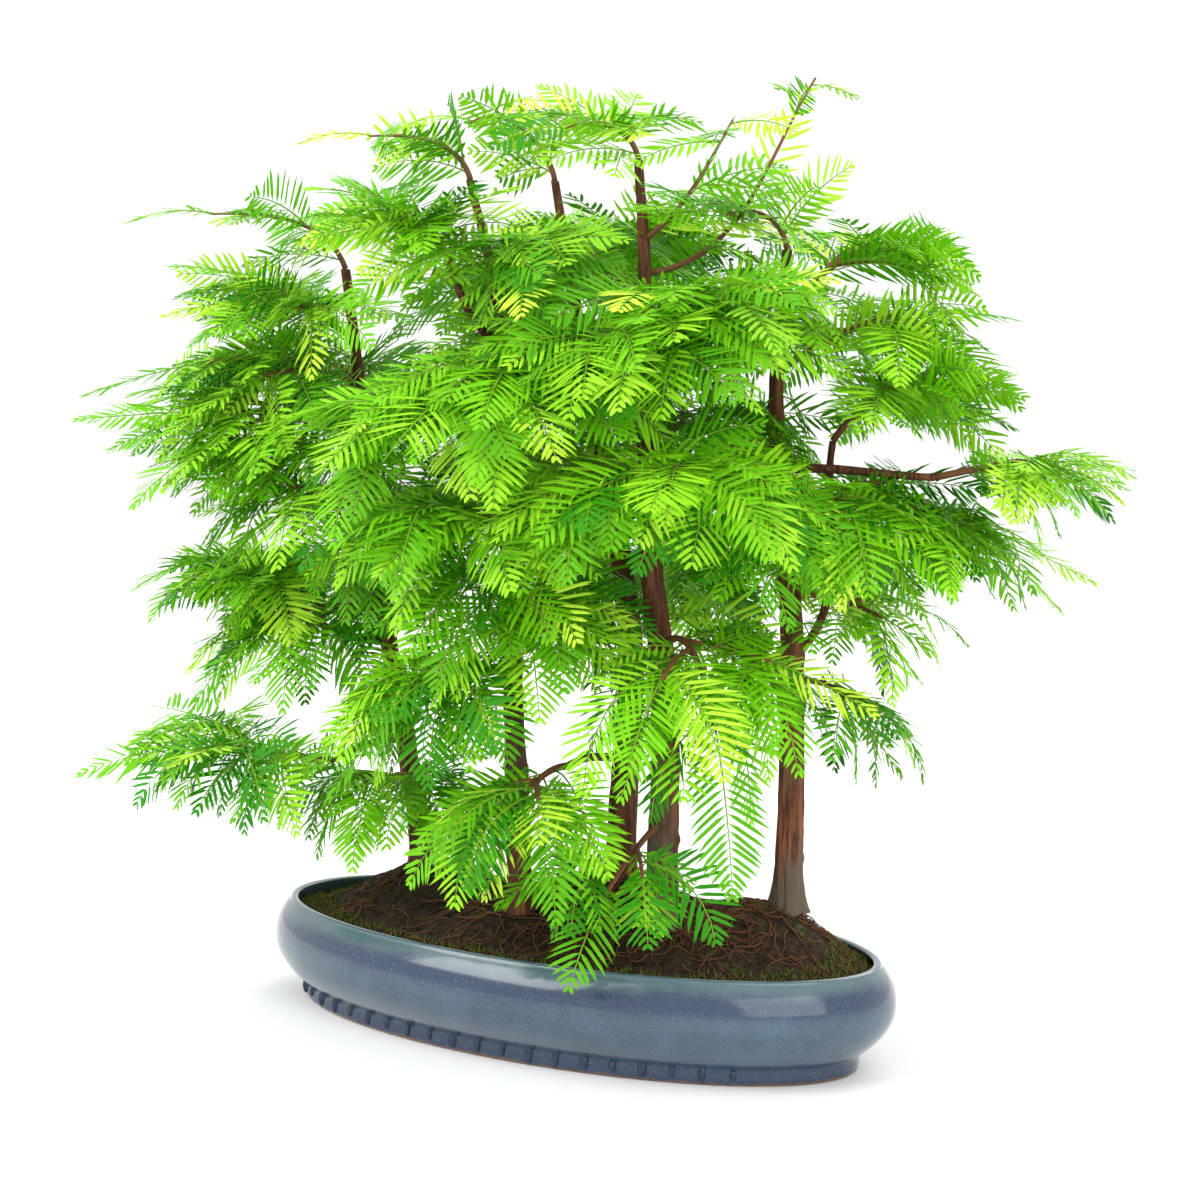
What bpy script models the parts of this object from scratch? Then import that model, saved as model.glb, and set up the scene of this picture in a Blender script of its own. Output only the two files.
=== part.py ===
"""A dawn redwood bonsai forest: five young trees in one oval glazed pot.

Sizes are millimetres. Each mesh is scaled to metres as it is made. The origin is the centre of the
pot's flat underside, X runs along the pot and Z is up. Angles are degrees, and a heading is counted
from +X towards +Y.
"""

import math
import random

import bmesh
import bpy
from mathutils import Matrix, Vector
from mathutils.bvhtree import BVHTree

MM = 0.001
GAP = 0.3
HAIR = 0.002
CLEARANCE = 0.2
UP = Vector((0.0, 0.0, 1.0))

# The pot
POT_LENGTH = 300.0
POT_DEPTH = 160.0
POT_HEIGHT = 45.5
POT_SIDES = 36
POT_FLOOR = 8.0
FLOOR_INSET = 18.0
INNER_HEIGHTS = (44.3, 38.0, 28.0, 18.0, 12.0, POT_FLOOR)
BELLY_HEIGHT = 27.6
FOOT_HEIGHT = 7.5
FOOT_INSET = 14.7
FOOT_ROUND = 1.2
RIM_ROUND = 1.0
OUTER_RINGS = 6
RIM_INSET = 8.0
RIM_WIDTH = 3.0
WALL = 6.0

# The soil
SOIL_EDGE_HEIGHT = 40.5
SOIL_GAP = 0.4
SOIL_DOME = 12.0
REAR_HOLLOW = 3.0
MOUND_SPREAD = 24.0
SOIL_RINGS = 4
WELL_DEPTH = 2.0
WELL_SIDES = 12
WELL_CUT_HEIGHT = 20.0

# The trees
TRUNK_SIDES = 8
TRUNK_STEPS = 5
TRUNK_TAPER = 1.25
FLARE_REACH = 9.0
FLARE_PLACES = (0.0, 4.0, 10.0, 24.0)
ROOT_LOBES = 4
LOBE_DEPTH = 0.12
BOUGH_SIDES = 5
BOUGH_RINGS = 4

# A spray of needles
TWIG_ROOT_RADIUS = 1.6
TWIG_TIP_RADIUS = 1.2
CORE_ROOT_WIDTH = 0.45
CORE_WIDTH = 1.2
CORE_RISE = 0.45
CORE_DROP = 0.28
NEEDLE_LEAN = 52.0
TOOTH_SPACING = 16.5
TOOTH_SAG = 0.10
SOLID_GROWTH = 1.22
SIDE_GROWTH = 1.08
BARE_SHARE = 0.10
TOOTH_END = 0.90
SPRAY_STEPS = 6
SPRAY_TRIES = 9
STEM_TRIES = 40
STEM_SWAY = 4.0
MOST_STEM_SWAY = 45.0
SINK = 3.0

# The way a mass grows
TWIG_SIDES = 3
STEM_STEPS = 4
AXIS_STEPS = 24
BEND_REACH = 0.38
FIRST_SPRAY = 0.04
MIN_SPRAY_SHARE = 0.10
STEEP = 0.80
SIDE_DROOP = 62.0
ROLL = 25.0
LOWEST_TIP = 14.0
SEED = 41

# Each tree: its foot on the soil, the points its trunk bends through, its radius above the flare and
# at the tip, and how much wider the foot is.
TREES = {
    "tree_1": {
        "foot": (-83.0, 8.0, 62.0),
        "path": [(-93.0, 3.0, 122.0), (-106.0, -4.0, 200.0), (-113.0, -8.0, 272.0), (-120.0, -12.0, 330.0)],
        "radius": 4.8, "tip_radius": 2.0, "flare": 3.4},
    "tree_2": {
        "foot": (-9.0, -31.0, 56.0),
        "path": [(-12.0, -33.0, 113.0), (-18.0, -36.0, 225.0), (-24.0, -39.0, 313.0), (-35.0, -45.0, 367.0)],
        "radius": 5.0, "tip_radius": 1.7, "flare": 2.4},
    "tree_3": {
        "foot": (10.0, 23.0, 65.0),
        "path": [(11.0, 23.0, 110.0), (11.0, 24.0, 175.0), (-3.0, 16.0, 254.0), (-23.0, 5.0, 370.0)],
        "radius": 6.5, "tip_radius": 1.6, "flare": 1.4},
    "tree_4": {
        "foot": (52.0, -18.0, 54.0),
        "path": [(51.0, -18.0, 150.0), (43.0, -22.0, 219.0), (39.0, -25.0, 323.0), (35.0, -27.0, 376.0)],
        "radius": 6.7, "tip_radius": 1.8, "flare": 1.4},
    "tree_5": {
        "foot": (92.0, 23.0, 61.0),
        "path": [(92.0, 23.0, 110.0), (89.0, 22.0, 190.0), (81.0, 17.0, 275.0), (83.0, 18.0, 342.0)],
        "radius": 6.0, "tip_radius": 2.0, "flare": 3.2},
}

# Each bough: its tree, the height it leaves at, its heading, how far from the trunk its tip lies, the
# tip's height, its radius at each end, and how steeply it leaves and ends.
BOUGHS = {
    "tree_1_bough_low": ("tree_1", 118, 236, 36, 110, 2.0, 1.5, 5, -20),
    "tree_1_bough_middle": ("tree_1", 163, 214, 42, 176, 2.2, 1.6, 0, 30),
    "tree_2_bough_upper": ("tree_2", 300, 236, 26, 336, 2.0, 1.6, 30, 65),
    "tree_3_bough_low": ("tree_3", 118, 277, 68, 124, 2.1, 1.6, 10, -5),
    "tree_5_bough_rising": ("tree_5", 172, 58, 17, 262, 2.0, 1.5, 40, 80),
    "tree_5_bough_long": ("tree_5", 250, 14, 66, 249, 2.1, 1.6, 5, 0),
}

# Each mass: its host, the height it leaves a trunk at (a bough gives it at its tip), its heading and
# reach from the trunk, its tip's height, how steeply it leaves and ends, how many side sprays it has,
# the length of one and half its width.
MASSES = {
    "tree_1_crown": ("tree_1", 330, 222, 60, 352, 70, -5, 6, 54, 15),
    "tree_1_upper_left": ("tree_1", 300, 232, 84, 328, 30, -5, 5, 60, 15),
    "tree_1_long_left": ("tree_1", 279, 217, 124, 270, 25, -20, 5, 58, 13),
    "tree_1_side_left": ("tree_1", 258, 229, 128, 261, 15, -5, 5, 56, 14),
    "tree_1_drape": ("tree_1", 240, 246, 116, 226, 30, -50, 5, 66, 17),
    "tree_1_middle": ("tree_1_bough_middle", 0, 223, 97, 197, 65, -25, 4, 62, 17),
    "tree_1_middle_hanging": ("tree_1", 176, 236, 92, 131, 20, -65, 4, 64, 16),
    "tree_1_low": ("tree_1_bough_low", 0, 219, 146, 102, 5, -25, 5, 60, 16),
    "tree_1_low_front": ("tree_1", 100, 284, 72, 84, 25, -45, 4, 56, 16),
    "tree_1_front": ("tree_1", 216, 290, 112, 206, 25, -50, 5, 68, 17),
    "tree_1_rear_upper": ("tree_1", 276, 140, 104, 270, 30, -25, 5, 66, 17),
    "tree_1_rear_middle": ("tree_1", 180, 158, 104, 158, 25, -40, 5, 66, 17),
    "tree_2_crown": ("tree_2", 367, 205, 43, 384, 75, -5, 6, 50, 14),
    "tree_2_side": ("tree_2_bough_upper", 0, 238, 68, 346, 50, -20, 4, 54, 15),
    "tree_2_upper_front": ("tree_2", 326, 312, 66, 332, 40, -35, 5, 62, 16),
    "tree_2_front_left": ("tree_2", 262, 258, 106, 246, 30, -45, 5, 68, 18),
    "tree_2_front": ("tree_2", 286, 300, 104, 238, 30, -65, 5, 68, 18),
    "tree_2_front_low": ("tree_2", 225, 274, 96, 186, 30, -60, 6, 68, 18),
    "tree_2_middle": ("tree_2", 196, 312, 68, 150, 20, -60, 5, 62, 17),
    "tree_2_low": ("tree_2", 160, 236, 84, 108, 20, -55, 5, 62, 17),
    "tree_3_crown": ("tree_3", 370, 201, 38, 394, 80, -35, 6, 48, 13),
    "tree_3_upper": ("tree_3", 330, 60, 60, 346, 40, -25, 5, 60, 16),
    "tree_3_front": ("tree_3", 300, 297, 100, 268, 30, -45, 5, 68, 18),
    "tree_3_low": ("tree_3_bough_low", 0, 270, 118, 76, 5, -70, 4, 60, 17),
    "tree_3_rear_upper": ("tree_3", 318, 125, 96, 322, 30, -30, 5, 66, 17),
    "tree_3_rear_left": ("tree_3", 240, 160, 112, 222, 30, -40, 5, 68, 18),
    "tree_3_rear": ("tree_3", 200, 100, 100, 160, 25, -50, 6, 68, 18),
    "tree_4_leader": ("tree_4", 330, 32, 68, 412, 10, 60, 3, 42, 12),
    "tree_4_shoot": ("tree_4", 344, 346, 46, 391, 30, 55, 5, 54, 15),
    "tree_4_crown": ("tree_4", 376, 246, 38, 386, 75, -25, 6, 54, 15),
    "tree_4_front_upper": ("tree_4", 292, 291, 90, 276, 35, -50, 5, 68, 18),
    "tree_4_front_middle": ("tree_4", 240, 290, 98, 224, 30, -55, 5, 68, 18),
    "tree_4_right_upper": ("tree_4", 304, 338, 88, 318, 35, -30, 5, 62, 17),
    "tree_4_front_right": ("tree_4", 246, 333, 98, 194, 30, -60, 6, 66, 18),
    "tree_4_right_low": ("tree_4", 176, 322, 76, 84, 30, -80, 5, 62, 17),
    "tree_4_low": ("tree_4", 100, 270, 78, 45, -20, -60, 1, 46, 15),
    "tree_4_rear": ("tree_4", 260, 80, 92, 240, 30, -40, 5, 66, 17),
    "tree_5_crown": ("tree_5", 342, 250, 36, 354, 75, -25, 6, 54, 15),
    "tree_5_top_right": ("tree_5", 316, 54, 92, 338, 50, -45, 4, 58, 15),
    "tree_5_right_upper": ("tree_5", 292, 48, 112, 316, 35, -10, 5, 62, 16),
    "tree_5_right": ("tree_5_bough_rising", 0, 28, 92, 279, 60, -45, 5, 64, 17),
    "tree_5_long": ("tree_5_bough_long", 0, 15, 148, 255, 15, -10, 4, 54, 14),
    "tree_5_right_middle": ("tree_5", 228, 30, 134, 205, 30, -25, 5, 60, 15),
    "tree_5_front_right": ("tree_5", 236, 341, 88, 186, 30, -55, 5, 66, 17),
    "tree_5_side": ("tree_5", 196, 32, 58, 160, 10, -50, 2, 52, 13),
    "tree_5_low_right": ("tree_5", 160, 16, 48, 122, 5, -50, 2, 46, 13),
    "tree_5_rear": ("tree_5", 214, 104, 94, 176, 25, -50, 5, 66, 17),
}


def heading(angle, rise=0.0):
    """The unit direction with this heading, rising this steeply."""
    turn = math.radians(angle)
    lift = math.radians(rise)
    level = math.cos(lift)
    return Vector((level * math.cos(turn), level * math.sin(turn), math.sin(lift)))


def smooth_curve(points, steps):
    """Points along one smooth curve through the given ones."""
    ends = [2 * points[0] - points[1]] + points + [2 * points[-1] - points[-2]]
    curve = []
    for index in range(len(points) - 1):
        before, start, stop, after = ends[index:index + 4]
        for step in range(steps):
            t = step / steps
            curve.append(0.5 * (
                2 * start + (stop - before) * t
                + (2 * before - 5 * start + 4 * stop - after) * t ** 2
                + (3 * start - before - 3 * stop + after) * t ** 3))
    curve.append(points[-1].copy())
    return curve


def bent_line(start, stop, leave, end, steps):
    """A curve from start to stop that sets off along leave and arrives along end."""
    reach = (stop - start).length * BEND_REACH
    first = start + leave * reach
    second = stop - end * reach
    curve = []
    for step in range(steps + 1):
        t = step / steps
        s = 1 - t
        curve.append(s ** 3 * start + 3 * s * s * t * first + 3 * s * t * t * second + t ** 3 * stop)
    return curve


def tangent(curve, index):
    """The direction of a curve at one of its points."""
    return (curve[min(index + 1, len(curve) - 1)] - curve[max(index - 1, 0)]).normalized()


def point_along(curve, share):
    """The point and direction at a share of the way along a curve of even steps."""
    place = share * (len(curve) - 1)
    index = min(int(place), len(curve) - 2)
    return curve[index].lerp(curve[index + 1], place - index), (curve[index + 1] - curve[index]).normalized()


def new_material(name, colour, roughness):
    material = bpy.data.materials.new(name)
    material.use_nodes = True
    shader = material.node_tree.nodes["Principled BSDF"]
    shader.inputs["Base Color"].default_value = (*colour, 1.0)
    shader.inputs["Roughness"].default_value = roughness
    shader.inputs["Metallic"].default_value = 0.0
    return material


def new_object(name, points, faces, material):
    """A mesh object made from points in millimetres."""
    mesh = bpy.data.meshes.new(name)
    mesh.from_pydata([point * MM for point in points], [], faces)
    mesh.materials.append(material)
    shape = bpy.data.objects.new(name, mesh)
    bpy.context.collection.objects.link(shape)
    return shape


def ring_faces(rings, sides):
    """Triangles between rings of the same number of points, with both ends capped."""
    faces = []
    for ring in range(rings - 1):
        for side in range(sides):
            low, low_next = ring * sides + side, ring * sides + (side + 1) % sides
            high, high_next = low + sides, low_next + sides
            faces.append((low, low_next, high_next))
            faces.append((low, high_next, high))
    last = (rings - 1) * sides
    for side in range(1, sides - 1):
        faces.append((0, side + 1, side))
        faces.append((last, last + side, last + side + 1))
    return faces


def tube(curve, radii, sides, first_normal=None):
    """A tapering limb along a curve. The first ring can lie in a plane of its own."""
    points = []
    side = None
    for index, centre in enumerate(curve):
        along = tangent(curve, index)
        if index == 0 and first_normal is not None:
            along = first_normal
        if side is None:
            side = along.orthogonal().normalized()
        side = (side - along * side.dot(along)).normalized()
        across = along.cross(side)
        for number in range(sides):
            turn = 2 * math.pi * number / sides
            points.append(centre + radii[index] * (math.cos(turn) * side + math.sin(turn) * across))
    return points, ring_faces(len(curve), sides)


def ellipse(inset, height):
    """One ring of the pot or soil, this far inside the pot's widest outline."""
    ring = []
    for number in range(POT_SIDES):
        turn = 2 * math.pi * number / POT_SIDES
        ring.append(Vector((
            (POT_LENGTH / 2 - inset) * math.cos(turn), (POT_DEPTH / 2 - inset) * math.sin(turn), height)))
    return ring


def belly_inset(height):
    """How far the pot's outer wall lies inside its widest outline at a height."""
    if height < BELLY_HEIGHT:
        return (FOOT_INSET - 1.2) * ((BELLY_HEIGHT - height) / (BELLY_HEIGHT - FOOT_HEIGHT)) ** 2
    return RIM_INSET * ((height - BELLY_HEIGHT) / (POT_HEIGHT - BELLY_HEIGHT)) ** 2.4


def inner_inset(height):
    """The same for the inner wall, which rounds into the floor."""
    low = max(0.0, BELLY_HEIGHT - height) / (BELLY_HEIGHT - POT_FLOOR)
    high = max(0.0, height - BELLY_HEIGHT) / (POT_HEIGHT - BELLY_HEIGHT)
    return WALL + FLOOR_INSET * low ** 3 + (RIM_INSET + RIM_WIDTH - WALL) * high ** 2.4


def faceted_inset(height):
    """Where the inner wall's flat facets lie at a height between its rings."""
    for upper, lower in zip(INNER_HEIGHTS, INNER_HEIGHTS[1:]):
        if height >= lower:
            share = (height - lower) / (upper - lower)
            return inner_inset(lower) + (inner_inset(upper) - inner_inset(lower)) * share
    return inner_inset(POT_FLOOR)


def build_pot(material):
    wall = POT_HEIGHT - RIM_ROUND - FOOT_HEIGHT
    outer_heights = [FOOT_HEIGHT + wall * step / OUTER_RINGS for step in range(OUTER_RINGS + 1)]
    rings = [ellipse(FOOT_INSET + FOOT_ROUND, 0.0), ellipse(FOOT_INSET, FOOT_ROUND)]
    rings.append(ellipse(FOOT_INSET, FOOT_HEIGHT - FOOT_ROUND))
    rings += [ellipse(belly_inset(height), height) for height in outer_heights]
    rings.append(ellipse(RIM_INSET + RIM_WIDTH * 0.45, POT_HEIGHT))
    rings += [ellipse(inner_inset(height), height) for height in INNER_HEIGHTS]
    points = [point for ring in rings for point in ring]
    return new_object("pot", points, ring_faces(len(rings), POT_SIDES), material)


def soil_dome(x, y):
    """How far the soil rises above its edge apart from the mounds, and how near the edge a point is."""
    inset = faceted_inset(SOIL_EDGE_HEIGHT)
    spread = min(1.0, (x / (POT_LENGTH / 2 - inset)) ** 2 + (y / (POT_DEPTH / 2 - inset)) ** 2)
    return SOIL_DOME * (1 - spread), spread


def soil_height(x, y):
    """The surface of the soil: a low dome, lowest at the left rear, with a mound at each tree."""
    rise, spread = soil_dome(x, y)
    for tree in TREES.values():
        foot_x, foot_y, foot_z = tree["foot"]
        dome, foot_spread = soil_dome(foot_x, foot_y)
        mound = (foot_z - SOIL_EDGE_HEIGHT) / (1 - foot_spread ** 3) - dome
        away = (x - foot_x) ** 2 + (y - foot_y) ** 2
        rise += mound * math.exp(-away / (2 * MOUND_SPREAD ** 2))
    hollow = REAR_HOLLOW * spread * max(0.0, y / POT_DEPTH - x / POT_LENGTH)
    return SOIL_EDGE_HEIGHT + rise * (1 - spread ** 3) - hollow


def build_soil(material):
    """The soil fills the pot with a small gap, and has a shallow well under each trunk."""
    floor = POT_FLOOR + GAP
    rings = [ellipse(faceted_inset(floor) + SOIL_GAP, floor)]
    for height in reversed(INNER_HEIGHTS[2:-1]):
        rings.append(ellipse(faceted_inset(height) + SOIL_GAP, height))
    edge = ellipse(faceted_inset(SOIL_EDGE_HEIGHT) + SOIL_GAP, 0.0)
    for step in range(SOIL_RINGS):
        share = 1 - step / SOIL_RINGS
        ring = []
        for point in edge:
            x, y = point.x * share, point.y * share
            ring.append(Vector((x, y, soil_height(x, y))))
        rings.append(ring)
    points = [point for ring in rings for point in ring]
    soil = new_object("soil", points, ring_faces(len(rings), POT_SIDES), material)
    for tree in TREES.values():
        cut_well(soil, tree)
    return soil


def foot_radius(tree):
    """The widest the flared foot reaches."""
    return (tree["radius"] + tree["flare"]) * (1 + LOBE_DEPTH)


def well_floor(tree):
    x, y, _ = tree["foot"]
    return soil_height(x, y) - WELL_DEPTH


def cut_well(soil, tree):
    """Cut the shallow round well that a trunk's foot stands in."""
    x, y, _ = tree["foot"]
    radius = foot_radius(tree) / math.cos(math.pi / WELL_SIDES) + GAP
    bottom = well_floor(tree)
    rings = []
    for height in (bottom, bottom + WELL_CUT_HEIGHT):
        for number in range(WELL_SIDES):
            turn = 2 * math.pi * number / WELL_SIDES
            rings.append(Vector((x + radius * math.cos(turn), y + radius * math.sin(turn), height)))
    cutter = new_object("well_cutter", rings, ring_faces(2, WELL_SIDES), soil.data.materials[0])
    cut = soil.modifiers.new("well", "BOOLEAN")
    cut.operation = "DIFFERENCE"
    cut.object = cutter
    apply_modifiers(soil)
    remove_objects([cutter])


def apply_modifiers(shape):
    """Replace an object's mesh with the one its modifiers give."""
    bpy.context.view_layer.update()
    evaluated = shape.evaluated_get(bpy.context.evaluated_depsgraph_get())
    mesh = bpy.data.meshes.new_from_object(evaluated)
    old = shape.data
    shape.modifiers.clear()
    shape.data = mesh
    bpy.data.meshes.remove(old)
    mesh.name = shape.name


def remove_objects(shapes):
    for shape in shapes:
        mesh = shape.data
        bpy.data.objects.remove(shape)
        bpy.data.meshes.remove(mesh)


def trunk_curve(tree):
    """The trunk's centre line, with closer points at the flare."""
    foot = Vector((*tree["foot"][:2], well_floor(tree) + GAP))
    dense = smooth_curve([foot] + [Vector(point) for point in tree["path"]], 12)
    length = sum((after - before).length for before, after in zip(dense, dense[1:]))
    places = list(FLARE_PLACES)
    places += [50.0 + (length - 50.0) * step / TRUNK_STEPS for step in range(TRUNK_STEPS + 1)]
    curve = []
    for place in places:
        curve.append(point_along(dense, place / length)[0])
    curve[0] = foot
    return curve, places, length


def build_trunk(name, tree, material):
    """A tapering trunk with root lobes at its foot, cut flat where it meets the soil."""
    curve, places, length = trunk_curve(tree)
    points = []
    for centre, place in zip(curve, places):
        taper = (place / length) ** TRUNK_TAPER
        radius = tree["radius"] + (tree["tip_radius"] - tree["radius"]) * taper
        flare = math.exp(-place / FLARE_REACH)
        for number in range(TRUNK_SIDES):
            turn = 2 * math.pi * number / TRUNK_SIDES
            lobe = 1 + LOBE_DEPTH * flare * math.cos(ROOT_LOBES * turn + tree["foot"][0])
            reach = (radius + tree["flare"] * flare) * lobe
            points.append(centre + reach * Vector((math.cos(turn), math.sin(turn), 0.0)))
    return new_object(name, points, ring_faces(len(curve), TRUNK_SIDES), material)


def trunk_centre(tree, height):
    """The point of a trunk's centre line at a height."""
    curve = trunk_curve(tree)[0]
    for before, after in zip(curve, curve[1:]):
        if height <= after.z:
            return before.lerp(after, max(0.0, (height - before.z) / (after.z - before.z)))
    return curve[-1].copy()


class Piece:
    """A closed shape that the others stay clear of."""

    def __init__(self, owner, points, faces):
        self.owner = owner
        self.points = points
        self.tree = BVHTree.FromPolygons(points, faces)
        self.low = Vector([min(point[axis] for point in points) - CLEARANCE for axis in range(3)])
        self.high = Vector([max(point[axis] for point in points) + CLEARANCE for axis in range(3)])

    def meets(self, other):
        """Whether two shapes overlap or come too close."""
        if any(self.low[axis] > other.high[axis] or self.high[axis] < other.low[axis] for axis in range(3)):
            return False
        if self.tree.overlap(other.tree):
            return True
        for near, far in ((self, other), (other, self)):
            for point in near.points:
                if far.tree.find_nearest(point, CLEARANCE)[0] is not None:
                    return True
        return False


def piece_of(shape):
    """The piece that a built object takes up."""
    points = [shape.matrix_world @ vertex.co / MM for vertex in shape.data.vertices]
    return Piece(shape.name, points, [tuple(face.vertices) for face in shape.data.polygons])


def surface_start(trunk_piece, centre, direction):
    """The point just clear of a trunk's surface on the side a limb leaves, and the surface's normal."""
    level = Vector((direction.x, direction.y, 0.0))
    if level.length < 0.2:
        return None
    level.normalize()
    hit, normal, _, _ = trunk_piece.tree.ray_cast(centre + level * 40.0, -level)
    return hit + normal * GAP, normal


def limb_ends(host, height, angle, reach, tip_height):
    """Where a limb's tip lies: reach and heading are counted from the trunk's centre line."""
    centre = trunk_centre(TREES[host], height)
    tip = centre + heading(angle) * reach
    tip.z = tip_height
    return centre, tip


def build_bough(name, row, trunk_pieces, material):
    host, height, angle, reach, tip_height, root_radius, tip_radius, leave, end = row
    centre, tip = limb_ends(host, height, angle, reach, tip_height)
    start, normal = surface_start(trunk_pieces[host], centre, heading(angle))
    curve = bent_line(start, tip, heading(angle, leave), heading(angle, end), BOUGH_RINGS)
    radii = [root_radius + (tip_radius - root_radius) * step / BOUGH_RINGS for step in range(BOUGH_RINGS + 1)]
    points, faces = tube(curve, radii, BOUGH_SIDES, normal)
    return new_object(name, points, faces, material), curve


def spray_shape(curve, face_up, half_width, pairs):
    """A toothed blade: a slim three-sided core along a curve, with a tooth for each group of needles."""
    shares = [0.0] + [BARE_SHARE + (TOOTH_END - BARE_SHARE) * number / pairs for number in range(pairs + 1)]
    points = []
    faces = [(0, 1, 2)]
    up = face_up
    for number, share in enumerate(shares):
        centre, along = point_along(curve, share)
        up = (up - along * up.dot(along)).normalized()
        side = along.cross(up) * (CORE_ROOT_WIDTH if number == 0 else CORE_WIDTH * (1 - 0.4 * share))
        points += [centre + up * CORE_RISE, centre - side - up * CORE_DROP, centre + side - up * CORE_DROP]
    lean = math.radians(NEEDLE_LEAN)
    for number in range(len(shares) - 1):
        top, left, right = range(3 * number, 3 * number + 3)
        top_next, left_next, right_next = range(3 * number + 3, 3 * number + 6)
        faces += [(left, left_next, right_next), (left, right_next, right)]
        if number == 0:
            faces += [(top, right, right_next), (top, right_next, top_next),
                      (left, top, top_next), (left, top_next, left_next)]
            continue
        along = (points[top_next] - points[top]).normalized()
        side = (points[right] - points[left]).normalized()
        middle = (points[left] + points[right] + points[left_next] + points[right_next]) / 4
        share = (number - 0.5) / pairs
        reach = half_width * (0.66 + 0.34 * math.sin(math.pi * share ** 0.8))
        sag = along.cross(side) * TOOTH_SAG
        for sign, rim in ((1, (top, right, right_next, top_next)), (-1, (left, top, top_next, left_next))):
            tooth = sign * side * math.sin(lean) + along * math.cos(lean)
            points.append(middle + reach * (tooth + sag))
            faces += [(rim[corner], rim[(corner + 1) % 4], len(points) - 1) for corner in range(4)]
    top, left, right = range(3 * len(shares) - 3, 3 * len(shares))
    points.append(curve[-1].copy())
    faces += [(top, right, len(points) - 1), (right, left, len(points) - 1), (left, top, len(points) - 1)]
    return points, faces


def drooping_line(root, direction, length, droop):
    """A spray's rib: it sets off along a direction and bends down on its way."""
    level = Vector((direction.x, direction.y, 0.0))
    rise = math.degrees(math.atan2(direction.z, level.length))
    angle = math.degrees(math.atan2(direction.y, direction.x))
    curve = [root.copy()]
    for step in range(SPRAY_STEPS):
        bend = max(-84.0, rise - droop * (step + 0.5) / SPRAY_STEPS)
        curve.append(curve[-1] + heading(angle, bend) * length / SPRAY_STEPS)
    return curve


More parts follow.
